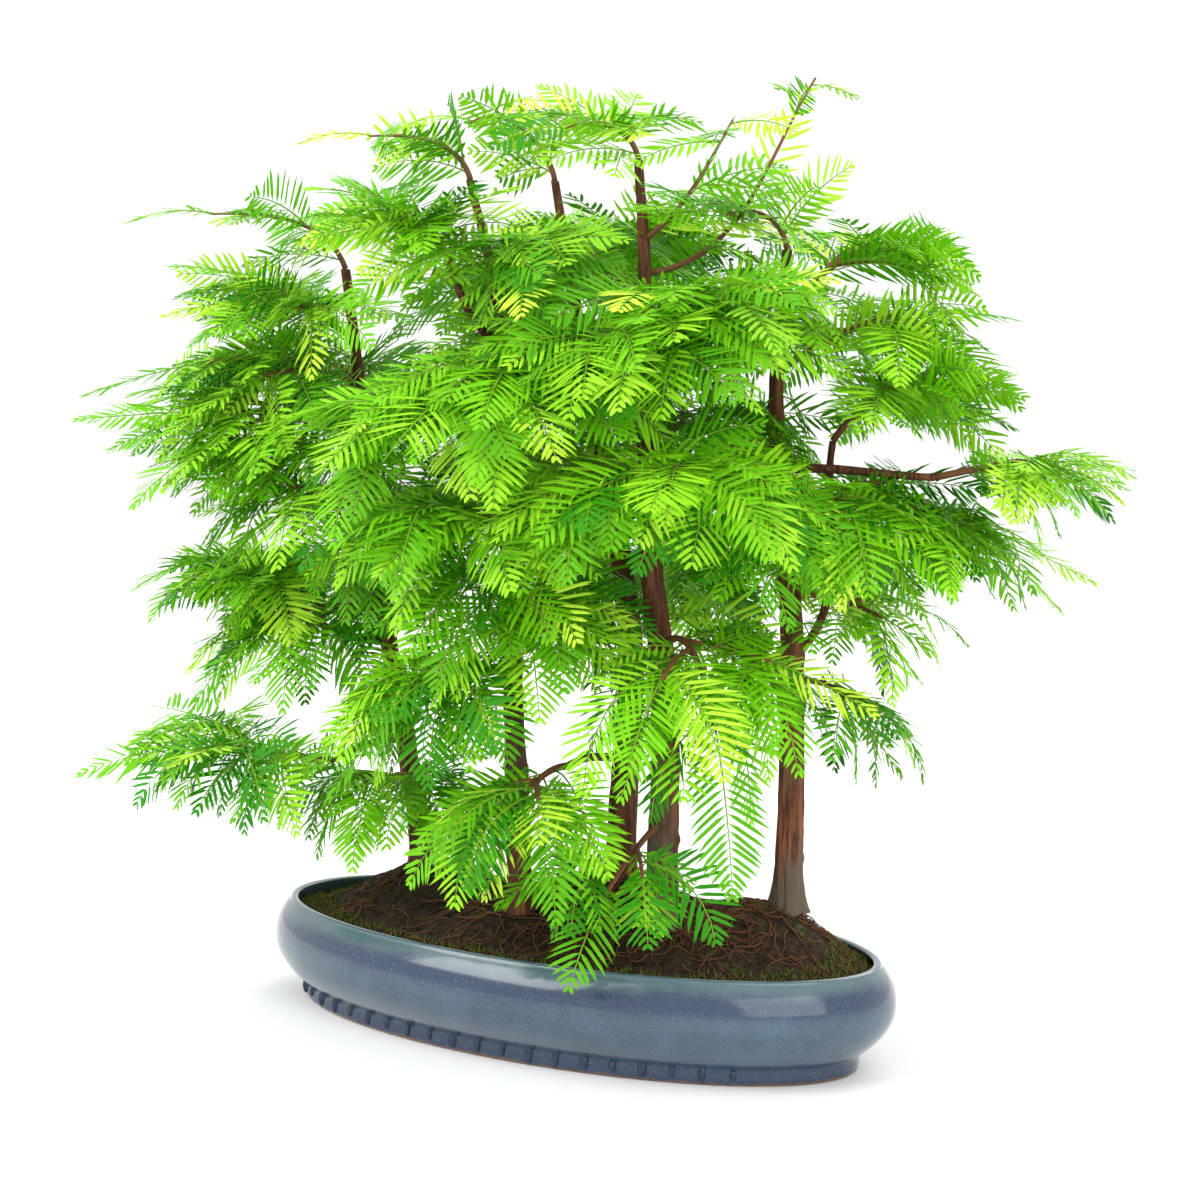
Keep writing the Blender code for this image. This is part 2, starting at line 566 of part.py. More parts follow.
class Mass:
    """One mass of foliage while it grows: a stem that ends in a spray, and side sprays along it."""

    def __init__(self, name, row, number, trunk_pieces, bough_curves):
        self.name = name
        self.host, height, self.angle, reach, tip_height, self.leave, self.end = row[:7]
        self.side_count, self.spray_length, self.half_width = row[7:]
        self.random = random.Random(SEED + number)
        self.pieces = []
        if self.host in BOUGHS:
            tree, height = BOUGHS[self.host][:2]
            self.tip = limb_ends(tree, height, self.angle, reach, tip_height)[1]
            bough = bough_curves[self.host]
            self.start_normal = tangent(bough, len(bough) - 1)
            self.start = bough[-1] + self.start_normal * GAP
            toward = self.tip - self.start
            self.angle = math.degrees(math.atan2(toward.y, toward.x))
            self.root_radius = BOUGHS[self.host][6] - 0.1
        else:
            centre, self.tip = limb_ends(self.host, height, self.angle, reach, tip_height)
            if height >= TREES[self.host]["path"][-1][2]:
                top = trunk_curve(TREES[self.host])[0]
                self.start_normal = UP.copy()
                self.start = top[-1] + UP * GAP
            else:
                found = surface_start(trunk_pieces[self.host], centre, heading(self.angle))
                self.start, self.start_normal = found
            self.root_radius = TWIG_ROOT_RADIUS

    def grow_stem(self, placed):
        """Lay the stem and the spray at its tip, clear of what is there."""
        for attempt in range(STEM_TRIES):
            spread = min(STEM_SWAY * attempt, MOST_STEM_SWAY)
            sway = self.random.uniform(-spread, spread)
            lift = self.random.uniform(-spread, spread)
            leave = heading(self.angle + sway, self.leave + lift)
            axis = bent_line(self.start, self.tip, leave, heading(self.angle - sway, self.end - lift), AXIS_STEPS)
            length = sum((after - before).length for before, after in zip(axis, axis[1:]))
            spray = min(self.spray_length, length * 0.6)
            self.stem_share = 1 - spray / length
            stem = [point_along(axis, self.stem_share * step / STEM_STEPS)[0] for step in range(STEM_STEPS + 1)]
            radii = [self.root_radius + (TWIG_TIP_RADIUS - self.root_radius) * step / STEM_STEPS
                     for step in range(STEM_STEPS + 1)]
            rib_start = self.stem_share - SINK / length
            rib = [point_along(axis, rib_start + (1 - rib_start) * step / SPRAY_STEPS)[0]
                   for step in range(SPRAY_STEPS + 1)]
            along = tangent(rib, 0)
            face_up = UP - along * UP.dot(along)
            if face_up.length < 0.35:
                face_up = -heading(self.angle)
            half_width = self.half_width * (1 - 0.4 * attempt / STEM_TRIES)
            shapes = [tube(stem, radii, TWIG_SIDES, self.start_normal),
                      spray_shape(rib, face_up.normalized(), half_width, self.pairs(spray))]
            pieces = [Piece(self.name, *shape) for shape in shapes]
            if not any(piece.meets(other) for piece in pieces for other in placed):
                break
        else:
            print("no clear way:", self.name)
        self.axis = axis
        self.shapes = shapes
        self.pieces = pieces
        return pieces

    def pairs(self, length):
        """How many pairs of teeth a spray of this length has."""
        return max(3, round(length / TOOTH_SPACING))

    def grow_side_spray(self, number, placed):
        """Lay one side spray, trying a few ways before it is left out."""
        share = FIRST_SPRAY + (self.stem_share - FIRST_SPRAY) * (number + 0.5) / self.side_count
        share = max(share, MIN_SPRAY_SHARE)
        root, along = point_along(self.axis, share)
        length = self.spray_length * SIDE_GROWTH * self.random.uniform(0.86, 1.06)
        droop = SIDE_DROOP + 0.3 * max(0.0, -self.end) + self.random.uniform(-10.0, 15.0)
        roll = self.random.uniform(-ROLL, ROLL)
        fork = self.random.uniform(44.0, 60.0)
        spin = 137.5 * number + self.random.uniform(-20.0, 20.0)
        for attempt in range(SPRAY_TRIES):
            wander = self.random.uniform(-1.0, 1.0) * 9.0 * attempt
            turn = math.radians(fork + wander)
            flip = 1 if (number + attempt // 4) % 2 else -1
            if abs(along.z) > STEEP:
                side = heading(self.angle + spin + wander)
            else:
                side = flip * along.cross(UP).normalized()
            side = (side - along * side.dot(along)).normalized()
            lift = self.random.uniform(-0.05, 0.30) + 0.08 * attempt * self.random.uniform(-1.0, 1.0)
            direction = (along * math.cos(turn) + side * math.sin(turn) + UP * lift).normalized()
            shorter = length * (1 - 0.05 * attempt)
            rib = drooping_line(root, direction, shorter, droop + wander)
            face_up = UP - direction * UP.dot(direction)
            if face_up.length < 0.3:
                continue
            face_up.rotate(Matrix.Rotation(math.radians(roll), 3, direction))
            shape = spray_shape(rib, face_up.normalized(), self.half_width * SOLID_GROWTH, self.pairs(shorter))
            piece = Piece(self.name, *shape)
            if rib[-1].z < LOWEST_TIP:
                continue
            if any(piece.meets(other) for other in placed if other is not self.pieces[0]):
                continue
            self.shapes.append(shape)
            self.pieces.append(piece)
            return piece
        print("left out:", self.name, number)
        return None

    def build(self, material):
        """Fuse the stem and its sprays into one closed shape, with fewer sprays if they don't fuse."""
        for count in range(len(self.shapes), 1, -1):
            shape = fuse(self.name, self.shapes[:count], material)
            if is_sound(shape.data):
                return shape
            print("fused again with fewer:", self.name)
            remove_objects([shape])
        raise ValueError(self.name + " does not fuse")


def fuse(name, shapes, material):
    """One Boolean union of a stem with the collection of its sprays."""
    stem = new_object(name, *shapes[0], material)
    sprays = bpy.data.collections.new(name + "_sprays")
    bpy.context.scene.collection.children.link(sprays)
    loose = []
    for points, faces in shapes[1:]:
        spray = new_object("spray", points, faces, material)
        bpy.context.collection.objects.unlink(spray)
        sprays.objects.link(spray)
        loose.append(spray)
    join = stem.modifiers.new("join", "BOOLEAN")
    join.operation = "UNION"
    join.operand_type = "COLLECTION"
    join.collection = sprays
    apply_modifiers(stem)
    remove_objects(loose)
    bpy.data.collections.remove(sprays)
    keep_largest_body(stem.data)
    return stem


def is_sound(mesh):
    """Whether a mesh is still closed when points a hair apart are made one."""
    body = bmesh.new()
    body.from_mesh(mesh)
    bmesh.ops.triangulate(body, faces=body.faces)
    bmesh.ops.remove_doubles(body, verts=body.verts, dist=HAIR * MM)
    sound = all(edge.is_manifold and edge.is_contiguous for edge in body.edges)
    body.free()
    return sound


def keep_largest_body(mesh):
    """Drop scraps and inner skins, so that one closed body is left."""
    body = bmesh.new()
    body.from_mesh(mesh)
    body.verts.ensure_lookup_table()
    groups = []
    seen = set()
    for vertex in body.verts:
        if vertex in seen:
            continue
        group = [vertex]
        seen.add(vertex)
        for member in group:
            for edge in member.link_edges:
                other = edge.other_vert(member)
                if other not in seen:
                    seen.add(other)
                    group.append(other)
        groups.append(group)
    groups.sort(key=len)
    loose = [vertex for group in groups[:-1] for vertex in group]
    bmesh.ops.delete(body, geom=loose, context="VERTS")
    body.to_mesh(mesh)
    body.free()


def clear_scene():
    for shape in list(bpy.data.objects):
        bpy.data.objects.remove(shape, do_unlink=True)


def main():
    clear_scene()
    glaze = new_material("blue_glaze", (0.16, 0.26, 0.38), 0.25)
    earth = new_material("soil", (0.05, 0.03, 0.02), 0.95)
    bark = new_material("bark", (0.20, 0.09, 0.05), 0.85)
    needles = new_material("needles", (0.10, 0.45, 0.03), 0.55)

    placed = [piece_of(build_pot(glaze)), piece_of(build_soil(earth))]
    trunk_pieces = {}
    for name, tree in TREES.items():
        piece = piece_of(build_trunk(name + "_trunk", tree, bark))
        trunk_pieces[name] = piece
        placed.append(piece)
    bough_curves = {}
    for name, row in BOUGHS.items():
        bough, bough_curves[name] = build_bough(name, row, trunk_pieces, bark)
        placed.append(piece_of(bough))

    masses = [Mass(name, row, number, trunk_pieces, bough_curves)
              for number, (name, row) in enumerate(MASSES.items())]
    for mass in masses:
        placed += mass.grow_stem(placed)
    for number in range(max(mass.side_count for mass in masses)):
        for mass in masses:
            if number < mass.side_count:
                piece = mass.grow_side_spray(number, placed)
                if piece is not None:
                    placed.append(piece)
    for mass in masses:
        mass.build(needles)


main()
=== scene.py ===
"""A dawn redwood bonsai forest: an oval glazed pot, its soil, five trunks and their foliage.

The tables and the helpers work in millimetres, and every mesh is scaled to metres as it is made.
The origin is the centre of the pot's underside, X runs along the pot and Z is up. A heading is
counted in degrees from +X towards +Y.
"""

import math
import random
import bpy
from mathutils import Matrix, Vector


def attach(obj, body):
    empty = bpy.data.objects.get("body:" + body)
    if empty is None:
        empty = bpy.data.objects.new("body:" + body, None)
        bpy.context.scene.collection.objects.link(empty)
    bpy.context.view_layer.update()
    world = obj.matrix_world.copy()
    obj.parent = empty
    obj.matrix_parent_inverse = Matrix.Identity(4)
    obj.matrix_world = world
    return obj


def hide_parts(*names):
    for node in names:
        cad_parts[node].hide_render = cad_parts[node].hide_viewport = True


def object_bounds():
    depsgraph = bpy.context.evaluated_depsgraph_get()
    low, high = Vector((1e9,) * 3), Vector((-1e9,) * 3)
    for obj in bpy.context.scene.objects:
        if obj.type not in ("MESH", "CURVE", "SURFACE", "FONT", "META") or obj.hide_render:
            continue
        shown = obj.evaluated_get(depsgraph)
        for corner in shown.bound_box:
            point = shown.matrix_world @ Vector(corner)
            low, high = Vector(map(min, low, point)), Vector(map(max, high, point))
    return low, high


bl_info = {
    "name": "Dawn Redwood Bonsai Forest",
    "version": (1, 0, 0),
    "blender": (4, 5, 0),
    "location": "3D View > Sidebar > Bonsai Forest",
    "description": "Grows five dawn redwoods in an oval glazed pot around the fixed solid model",
    "category": "Add Mesh",
}

import bpy
import numpy as np
from bpy.props import FloatProperty, FloatVectorProperty, IntProperty, PointerProperty
from mathutils import Matrix, Vector, noise

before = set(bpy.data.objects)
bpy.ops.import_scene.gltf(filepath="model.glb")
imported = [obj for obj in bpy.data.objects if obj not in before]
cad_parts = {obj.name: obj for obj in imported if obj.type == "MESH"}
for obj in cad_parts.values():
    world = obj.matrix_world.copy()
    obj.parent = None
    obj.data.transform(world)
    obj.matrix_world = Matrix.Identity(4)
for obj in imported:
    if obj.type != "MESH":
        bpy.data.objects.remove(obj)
CAD_LOW, CAD_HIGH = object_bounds()

BODY = "root"
MM = 0.001
UP = Vector((0.0, 0.0, 1.0))

# The pot and its soil, as in the solid model. Insets are counted from the pot's widest outline.
POT_LENGTH = 300.0
POT_DEPTH = 160.0
POT_HEIGHT = 45.5
POT_FLOOR = 8.0
FLOOR_INSET = 18.0
BELLY_HEIGHT = 27.6
FOOT_HEIGHT = 7.5
FOOT_INSET = 14.7
FOOT_ROUND = 1.2
RIM_ROUND = 1.0
RIM_INSET = 8.0
RIM_WIDTH = 3.0
WALL = 6.0
SOIL_EDGE_HEIGHT = 40.5
SOIL_BED = 9.0
SOIL_DOME = 12.0
REAR_HOLLOW = 3.0
MOUND_SPREAD = 24.0
WELL_DEPTH = 2.0
BELLY_OVERHANG = 1.2
LIP_CURVE = 2.4
FLOOR_CURVE = 3

# How finely the pot and the soil are drawn, and how the soil's edge meets the wall
PROFILE_POINTS = {"foot": 5, "wall": 40, "rim": 11, "inside": 22}
SOIL_SIDES = 220
SOIL_RINGS = 44
SOIL_WALL_HEIGHTS = (SOIL_BED, 14.0, 20.0, 28.0, 36.0)
SOIL_WALL_GAP = 0.1
SOIL_EDGE_SINK = 0.15

# The foot's wall above its rounded edge: how far it leans out, and at which height
FOOT_WALL = ((0.0, 3.0), (0.0, 4.5), (0.0, 5.8), (0.25, 6.6), (0.7, 7.1))

# The soil's lumps: how dense they are, the layer their noise is read in, and how high they stand
SOIL_LUMPS = ((0.11, 0.0, 1.5), (0.33, 7.0, 0.9), (0.9, 3.0, 0.35))

# Drips of glaze hang along this part of the foot, in degrees round the pot. Their sizes are metres.
DRIPS_FROM = 172.0
DRIPS_TO = 318.0
DRIP_POINTS = 120
DRIP_HEIGHT = 4.6
DRIP_SINK = 0.1
DRIP_SIZES = ((0.0010, 0.0010, 0.0022), (0.0021, 0.0014, 0.0042))

# Crumbs and moss lie between these shares of the soil's radius. Sizes are metres, as nodes take them.
CRUMB_BED = (0.03, 0.97)
MOSS_BED = (0.84, 0.985)
CRUMB_SIZES = ((0.0004, 0.0004, 0.0003), (0.0015, 0.0012, 0.0009))
MOSS_SIZES = ((0.0006, 0.0006, 0.0010), (0.0013, 0.0013, 0.0030))
MOSS_LEAN = 0.5
ROOT_THICKNESS = 0.00042

# Fine roots wander from round these trees, in strides of millimetres and bends of degrees
ROOT_TAPER = 0.75
ROOT_REACHES = (6.0, 42.0)
ROOT_LIFTS = (0.2, 1.6)
ROOT_STRIDES = (2.0, 3.6)
ROOT_BENDS = 22.0
ROOT_TURNS = (-70.0, 70.0)
SHORTEST_ROOT = 4
ROOT_STEPS = (7, 15)
ROOT_SEAT = 0.25
ROOTS_OFF_WALL = 2.0
ROOT_TREES = (3, 4, 0, 1, 2, 4, 3)

# The limbs, their taper and lobes as in the solid model, and what grows stays this far off them
TRUNK_TAPER = 1.25
TRUNK_STEPS = 12
BOUGH_STEPS = 40
BOUGH_SIDES = 14
BOUGH_SWELL = (0.94, 1.04)
FLARE_REACH = 9.0
FLARE_TOP = 20.0
FLARE_RINGS = 24
TRUNK_RINGS = 200
ROOT_LOBES = 4
LOBE_DEPTH = 0.12
LIMB_SEAT = 0.8
LOWEST_TIP = 14.0
CLEAR_OF_BARK = 0.6
CLEAR_OF_POT = 2.0
CLEAR_OF_SOIL = 3.0

# Scars of old twigs on a trunk, in millimetres
SCARS = 14
SCAR_HEIGHTS = (22.0, 200.0)
SCAR_RISES = (0.5, 1.2)
SCAR_SPREADS = (1.2, 2.4)

# A mass's stem and its side shoots. Places and lengths are shares of the stem, and angles are degrees.
TWIG_ROOT_RADIUS = 1.6
TWIG_TIP_RADIUS = 0.7
TWIG_SIDES = 6
STEM_TRIES = 40
STEM_SWAY = 4.0
MOST_STEM_SWAY = 45.0
STEM_CLEAR_AFTER = 9.0
AXIS_STEPS = 24
BEND_REACH = 0.38
GOLDEN_ANGLE = 137.5
SHOOT_TRIES = 6
SHOOT_STEPS = 3
SHOOT_ROOTS = (0.10, 0.30)
SHOOT_LENGTHS = (0.55, 0.75)
SHOOT_TURNS = (32.0, 60.0)
SHOOT_RISES = (-12.0, 22.0)
SHOOT_FOLLOWS = 0.6
SHOOT_DROOPS = (20.0, 60.0)
SHOOT_FULLNESS = 0.6
SHOOT_THICKNESS = 0.7

# A spray's rib, how it droops lower in the crown, and how it turns to the light
SPRAY_STEPS = 6
RIB_RADIUS = 0.48
RIB_TIP_RADIUS = 0.20
RIB_SIDES = 4
RIB_BARE = 0.07
STEEPEST_BEND = -84.0
LOW_DROOP = 72.0
HIGH_DROOP = 34.0
LOW_CROWN = 150.0
HIGH_CROWN = 360.0
CROWN_LENGTH = 200.0
CROWN_DEPTH = 100.0
SIDE_LIGHT = (0.35, 1.0)
LEAST_FACE = 0.3
ROLL = 25.0

# Side sprays start at the first share of a stem, and the spray at its end takes at most the second.
# Lengths and widths are shares of the mass's own.
MIN_SPRAY_SHARE = 0.10
END_SPRAY_SHARE = 0.6
SPRAY_TRIES = 6
TRIES_EACH_SIDE = 4
STEEP = 0.80
SIDE_LENGTHS = (0.78, 1.12)
SIDE_DROOPS = (-14.0, 18.0)
SIDE_FORKS = (44.0, 64.0)
SIDE_SPINS = (-20.0, 20.0)
SIDE_LIFTS = (-0.10, 0.34)
SIDE_WANDER = 9.0
SIDE_SHRINK = 0.05
SMALL_PLACES = (0.14, 0.34)
SMALL_COUNTS = (0, 0, 1, 1, 2)
SMALL_FORKS = (40.0, 56.0)
SMALL_LIFTS = (-0.05, 0.2)
SMALL_LENGTHS = (0.85, 1.1)
SMALL_REACH = 0.72
SMALL_REACH_LOSS = 0.5
SMALL_DROOP = 0.7
SMALL_WIDTH = 0.86

# Sprays straight from a trunk
TRUNK_SPRAYS = 4
TRUNK_SPRAYS_FROM = 175.0
TRUNK_SPRAY_SPREAD = (-16.0, 16.0)
TRUNK_SPRAY_RISES = (5.0, 45.0)
TRUNK_SPRAY_LENGTHS = (0.6, 0.95)
TRUNK_SPRAY_DROOP = 20.0
TRUNK_SPRAY_WIDTH = 0.92
TRUNK_SPRAY_BARE = 0.14
BELOW_TRUNK_TIP = 2.0

# Upright shoots, which a mass is where it leaves or ends this steeply, and the tuft at their tips
LEADER_LEAVE = 70
LEADER_END = 55
LEADER_RADIUS = 1.3
LEADER_NEEDLE = 13.0
LEADER_SPACING = 1.5
LEADER_BARE = 0.25
LEADER_SIDE_LENGTH = 0.85
LEADER_SIDES_FROM = 0.06
LEADER_SIDES_SPAN = 0.50
TUFT_FROM = 0.97
TUFT_STEP = 0.06
TUFT_TURNS = (0.0, 130.0, -110.0)
TUFT_SWAYS = (-25.0, 25.0)
TUFT_LENGTHS = (0.45, 0.75)
TUFT_RISES = (0.0, 40.0)
TUFT_DROOP = 35.0
TUFT_WIDTH = 0.72

# Seeded draws of every kind start from this number
SEED = 41

# Each tree: its foot on the soil, the points its trunk bends through, its radius above the flare and
# at the tip, and how much wider the foot is.
TREES = {
    "tree_1": {
        "foot": (-83.0, 8.0, 62.0),
        "path": [(-93.0, 3.0, 122.0), (-106.0, -4.0, 200.0), (-113.0, -8.0, 272.0), (-120.0, -12.0, 330.0)],
        "radius": 4.8, "tip_radius": 2.0, "flare": 3.4},
    "tree_2": {
        "foot": (-9.0, -31.0, 56.0),
        "path": [(-12.0, -33.0, 113.0), (-18.0, -36.0, 225.0), (-24.0, -39.0, 313.0), (-35.0, -45.0, 367.0)],
        "radius": 5.0, "tip_radius": 1.7, "flare": 2.4},
    "tree_3": {
        "foot": (10.0, 23.0, 65.0),
        "path": [(11.0, 23.0, 110.0), (11.0, 24.0, 175.0), (-3.0, 16.0, 254.0), (-23.0, 5.0, 370.0)],
        "radius": 6.5, "tip_radius": 1.6, "flare": 1.4},
    "tree_4": {
        "foot": (52.0, -18.0, 54.0),
        "path": [(51.0, -18.0, 150.0), (43.0, -22.0, 219.0), (39.0, -25.0, 323.0), (35.0, -27.0, 376.0)],
        "radius": 6.7, "tip_radius": 1.8, "flare": 1.4},
    "tree_5": {
        "foot": (92.0, 23.0, 61.0),
        "path": [(92.0, 23.0, 110.0), (89.0, 22.0, 190.0), (81.0, 17.0, 275.0), (83.0, 18.0, 342.0)],
        "radius": 6.0, "tip_radius": 2.0, "flare": 3.2},
}

# Each bough: its tree, the height it leaves at, its heading, how far from the trunk its tip lies, the
# tip's height, its radius at each end, and how steeply it leaves and ends.
BOUGHS = {
    "tree_1_bough_low": ("tree_1", 118, 236, 36, 110, 2.0, 1.5, 5, -20),
    "tree_1_bough_middle": ("tree_1", 163, 214, 42, 176, 2.2, 1.6, 0, 30),
    "tree_2_bough_upper": ("tree_2", 300, 236, 26, 336, 2.0, 1.6, 30, 65),
    "tree_3_bough_low": ("tree_3", 118, 277, 68, 124, 2.1, 1.6, 10, -5),
    "tree_5_bough_rising": ("tree_5", 172, 58, 17, 262, 2.0, 1.5, 40, 80),
    "tree_5_bough_long": ("tree_5", 250, 14, 66, 249, 2.1, 1.6, 5, 0),
}

# Each mass: its host, the height it leaves a trunk at (a bough gives it at its tip), its heading and
# reach from the trunk, its tip's height, how steeply it leaves and ends, how many side sprays the solid
# has, the length of one and half its width.
MASSES = {
    "tree_1_crown": ("tree_1", 330, 222, 60, 352, 70, -5, 6, 54, 15),
    "tree_1_upper_left": ("tree_1", 300, 232, 84, 328, 30, -5, 5, 60, 15),
    "tree_1_long_left": ("tree_1", 279, 217, 124, 270, 25, -20, 5, 58, 13),
    "tree_1_side_left": ("tree_1", 258, 229, 128, 261, 15, -5, 5, 56, 14),
    "tree_1_drape": ("tree_1", 240, 246, 116, 226, 30, -50, 5, 66, 17),
    "tree_1_middle": ("tree_1_bough_middle", 0, 223, 97, 197, 65, -25, 4, 62, 17),
    "tree_1_middle_hanging": ("tree_1", 176, 236, 92, 131, 20, -65, 4, 64, 16),
    "tree_1_low": ("tree_1_bough_low", 0, 219, 146, 102, 5, -25, 5, 60, 16),
    "tree_1_low_front": ("tree_1", 100, 284, 72, 84, 25, -45, 4, 56, 16),
    "tree_1_front": ("tree_1", 216, 290, 112, 206, 25, -50, 5, 68, 17),
    "tree_1_rear_upper": ("tree_1", 276, 140, 104, 270, 30, -25, 5, 66, 17),
    "tree_1_rear_middle": ("tree_1", 180, 158, 104, 158, 25, -40, 5, 66, 17),
    "tree_2_crown": ("tree_2", 367, 205, 43, 384, 75, -5, 6, 50, 14),
    "tree_2_side": ("tree_2_bough_upper", 0, 238, 68, 346, 50, -20, 4, 54, 15),
    "tree_2_upper_front": ("tree_2", 326, 312, 66, 332, 40, -35, 5, 62, 16),
    "tree_2_front_left": ("tree_2", 262, 258, 106, 246, 30, -45, 5, 68, 18),
    "tree_2_front": ("tree_2", 286, 300, 104, 238, 30, -65, 5, 68, 18),
    "tree_2_front_low": ("tree_2", 225, 274, 96, 186, 30, -60, 6, 68, 18),
    "tree_2_middle": ("tree_2", 196, 312, 68, 150, 20, -60, 5, 62, 17),
    "tree_2_low": ("tree_2", 160, 236, 84, 108, 20, -55, 5, 62, 17),
    "tree_3_crown": ("tree_3", 370, 201, 38, 394, 80, -35, 6, 48, 13),
    "tree_3_upper": ("tree_3", 330, 60, 60, 346, 40, -25, 5, 60, 16),
    "tree_3_front": ("tree_3", 300, 297, 100, 268, 30, -45, 5, 68, 18),
    "tree_3_low": ("tree_3_bough_low", 0, 270, 118, 76, 5, -70, 4, 60, 17),
    "tree_3_rear_upper": ("tree_3", 318, 125, 96, 322, 30, -30, 5, 66, 17),
    "tree_3_rear_left": ("tree_3", 240, 160, 112, 222, 30, -40, 5, 68, 18),
    "tree_3_rear": ("tree_3", 200, 100, 100, 160, 25, -50, 6, 68, 18),
    "tree_4_leader": ("tree_4", 330, 32, 68, 412, 10, 60, 3, 42, 12),
    "tree_4_shoot": ("tree_4", 344, 346, 46, 391, 30, 55, 5, 54, 15),
    "tree_4_crown": ("tree_4", 376, 246, 38, 386, 75, -25, 6, 54, 15),
    "tree_4_front_upper": ("tree_4", 292, 291, 90, 276, 35, -50, 5, 68, 18),
    "tree_4_front_middle": ("tree_4", 240, 290, 98, 224, 30, -55, 5, 68, 18),
    "tree_4_right_upper": ("tree_4", 304, 338, 88, 318, 35, -30, 5, 62, 17),
    "tree_4_front_right": ("tree_4", 246, 333, 98, 194, 30, -60, 6, 66, 18),
    "tree_4_right_low": ("tree_4", 176, 322, 76, 84, 30, -80, 5, 62, 17),
    "tree_4_low": ("tree_4", 100, 270, 78, 45, -20, -60, 1, 46, 15),
    "tree_4_rear": ("tree_4", 260, 80, 92, 240, 30, -40, 5, 66, 17),
    "tree_5_crown": ("tree_5", 342, 250, 36, 354, 75, -25, 6, 54, 15),
    "tree_5_top_right": ("tree_5", 316, 54, 92, 338, 50, -45, 4, 58, 15),
    "tree_5_right_upper": ("tree_5", 292, 48, 112, 316, 35, -10, 5, 62, 16),
    "tree_5_right": ("tree_5_bough_rising", 0, 28, 92, 279, 60, -45, 5, 64, 17),
    "tree_5_long": ("tree_5_bough_long", 0, 15, 148, 255, 15, -10, 4, 54, 14),
    "tree_5_right_middle": ("tree_5", 228, 30, 134, 205, 30, -25, 5, 60, 15),
    "tree_5_front_right": ("tree_5", 236, 341, 88, 186, 30, -55, 5, 66, 17),
    "tree_5_side": ("tree_5", 196, 32, 58, 160, 10, -50, 2, 52, 13),
    "tree_5_low_right": ("tree_5", 160, 16, 48, 122, 5, -50, 2, 46, 13),
    "tree_5_rear": ("tree_5", 214, 104, 94, 176, 25, -50, 5, 66, 17),
}

# A needle, as shares of its length and width: the places of its cross-sections and their widths
NEEDLE_PLACES = (0.24, 0.74)
NEEDLE_WIDTHS = (1.0, 0.88)
NEEDLE_THICKNESS = 0.34
NEEDLE_TRIANGLES = 16
NEEDLE_CURL = 0.16
MOST_TRIANGLES = 180000

# Needles along a rib: their lengths as shares of the spray's half width, and their lean from the rib
FEWEST_PAIRS = 5
NEEDLES_STOP = 0.99
NEEDLE_ROOT_REACH = 0.58
NEEDLE_MIDDLE_REACH = 0.50
NEEDLE_FULLEST = 0.75
NEEDLES_SHRINK_FROM = 0.70
NEEDLE_TIP_SHRINK = 0.62
NEEDLE_LEAN = 66.0
NEEDLE_LEAN_LOSS = 24.0
NEEDLE_LEAN_DRAWS = (-4.0, 4.0)
NEEDLE_TILTS = (-0.12, 0.18)
NEEDLE_TWIST = 0.20
NEEDLE_SHIFTS = (-0.3, 0.3)
NEEDLE_LENGTH_DRAWS = (0.92, 1.08)
NEEDLE_BENDS = (0.03, 0.18)
NEEDLE_WIDTH_DRAWS = (0.88, 1.08)

# The tints run from the darkest to the newest. The darkest is a painted shade for sprays deep in the crown.
# The newest is paler new growth mixed with a painted highlight. Below is how a spray's tint is drawn from its
# height: lighter higher up, as painted light from above
SHADE_TO_LIGHT_TINTS = ("deep_green", "leaf_green", "bright_green", "yellow_green", "lime", "pale_lime")
TINT_MEAN = 1.9
TINT_SPREAD = 1.15
TINT_HEIGHT = 180.0
TINT_RISE = 260.0

# The lights: place in metres, size and power
LIGHTS = {
    "key_light": ((-0.9, -1.3, 1.6), 1.3, 26.0),
    "fill_light": ((1.5, -1.0, 0.9), 1.4, 12.0),
    "rear_light": ((0.2, 1.5, 1.5), 1.4, 14.0),
}
LIGHTS_AIM = (0.0, 0.0, 0.2)
SKY_STRENGTH = 1.12
CAMERA_AIM_RIGHT = 0.0073
CAMERA_AIM_HEIGHT = 0.1893
SENSOR_WIDTH = 36.0
FLOOR_REACH = 6000.0
FLOOR_DROP = 0.3

BLACK = (0.0, 0.0, 0.0)
WHITE = (1.0, 1.0, 1.0)


def colour_property(name, description, default):
    return FloatVectorProperty(
        name=name, description=description, subtype="COLOR", size=3, min=0.0, max=1.0, default=default)


class PotSettings(bpy.types.PropertyGroup):
    """Sizes and colours of the glazed pot."""

    sides: IntProperty(name="Sides", description="Points round the pot", default=200, min=36)
    belly: colour_property("Belly", "Glaze on the belly, where it is thick", (0.058, 0.102, 0.152))
    band: colour_property("Band", "Darker glaze under the shoulder and at the foot", (0.020, 0.040, 0.085))
    shoulder: colour_property("Shoulder", "Glaze that breaks lighter near the rim", (0.080, 0.135, 0.155))
    clay: colour_property("Clay", "Bare clay at the foot", (0.20, 0.105, 0.055))
    drip_spacing: FloatProperty(
        name="Drip spacing", description="Distance between drips of glaze along the foot",
        default=0.0125, min=0.004, unit="LENGTH")


class SoilSettings(bpy.types.PropertyGroup):
    """What lies in the pot."""

    earth: colour_property("Earth", "Damp soil", (0.030, 0.017, 0.009))
    root: colour_property("Root", "Fine roots on the soil", (0.20, 0.075, 0.032))
    moss: colour_property("Moss", "Moss by the rim", (0.13, 0.18, 0.016))
    crumbs: IntProperty(name="Crumbs", description="Crumbs of soil to scatter", default=2600, min=0)
    roots: IntProperty(name="Roots", description="Fine roots to lay on the soil", default=420, min=0)
    tufts: IntProperty(name="Moss tufts", description="Tufts of moss by the rim", default=2600, min=0)


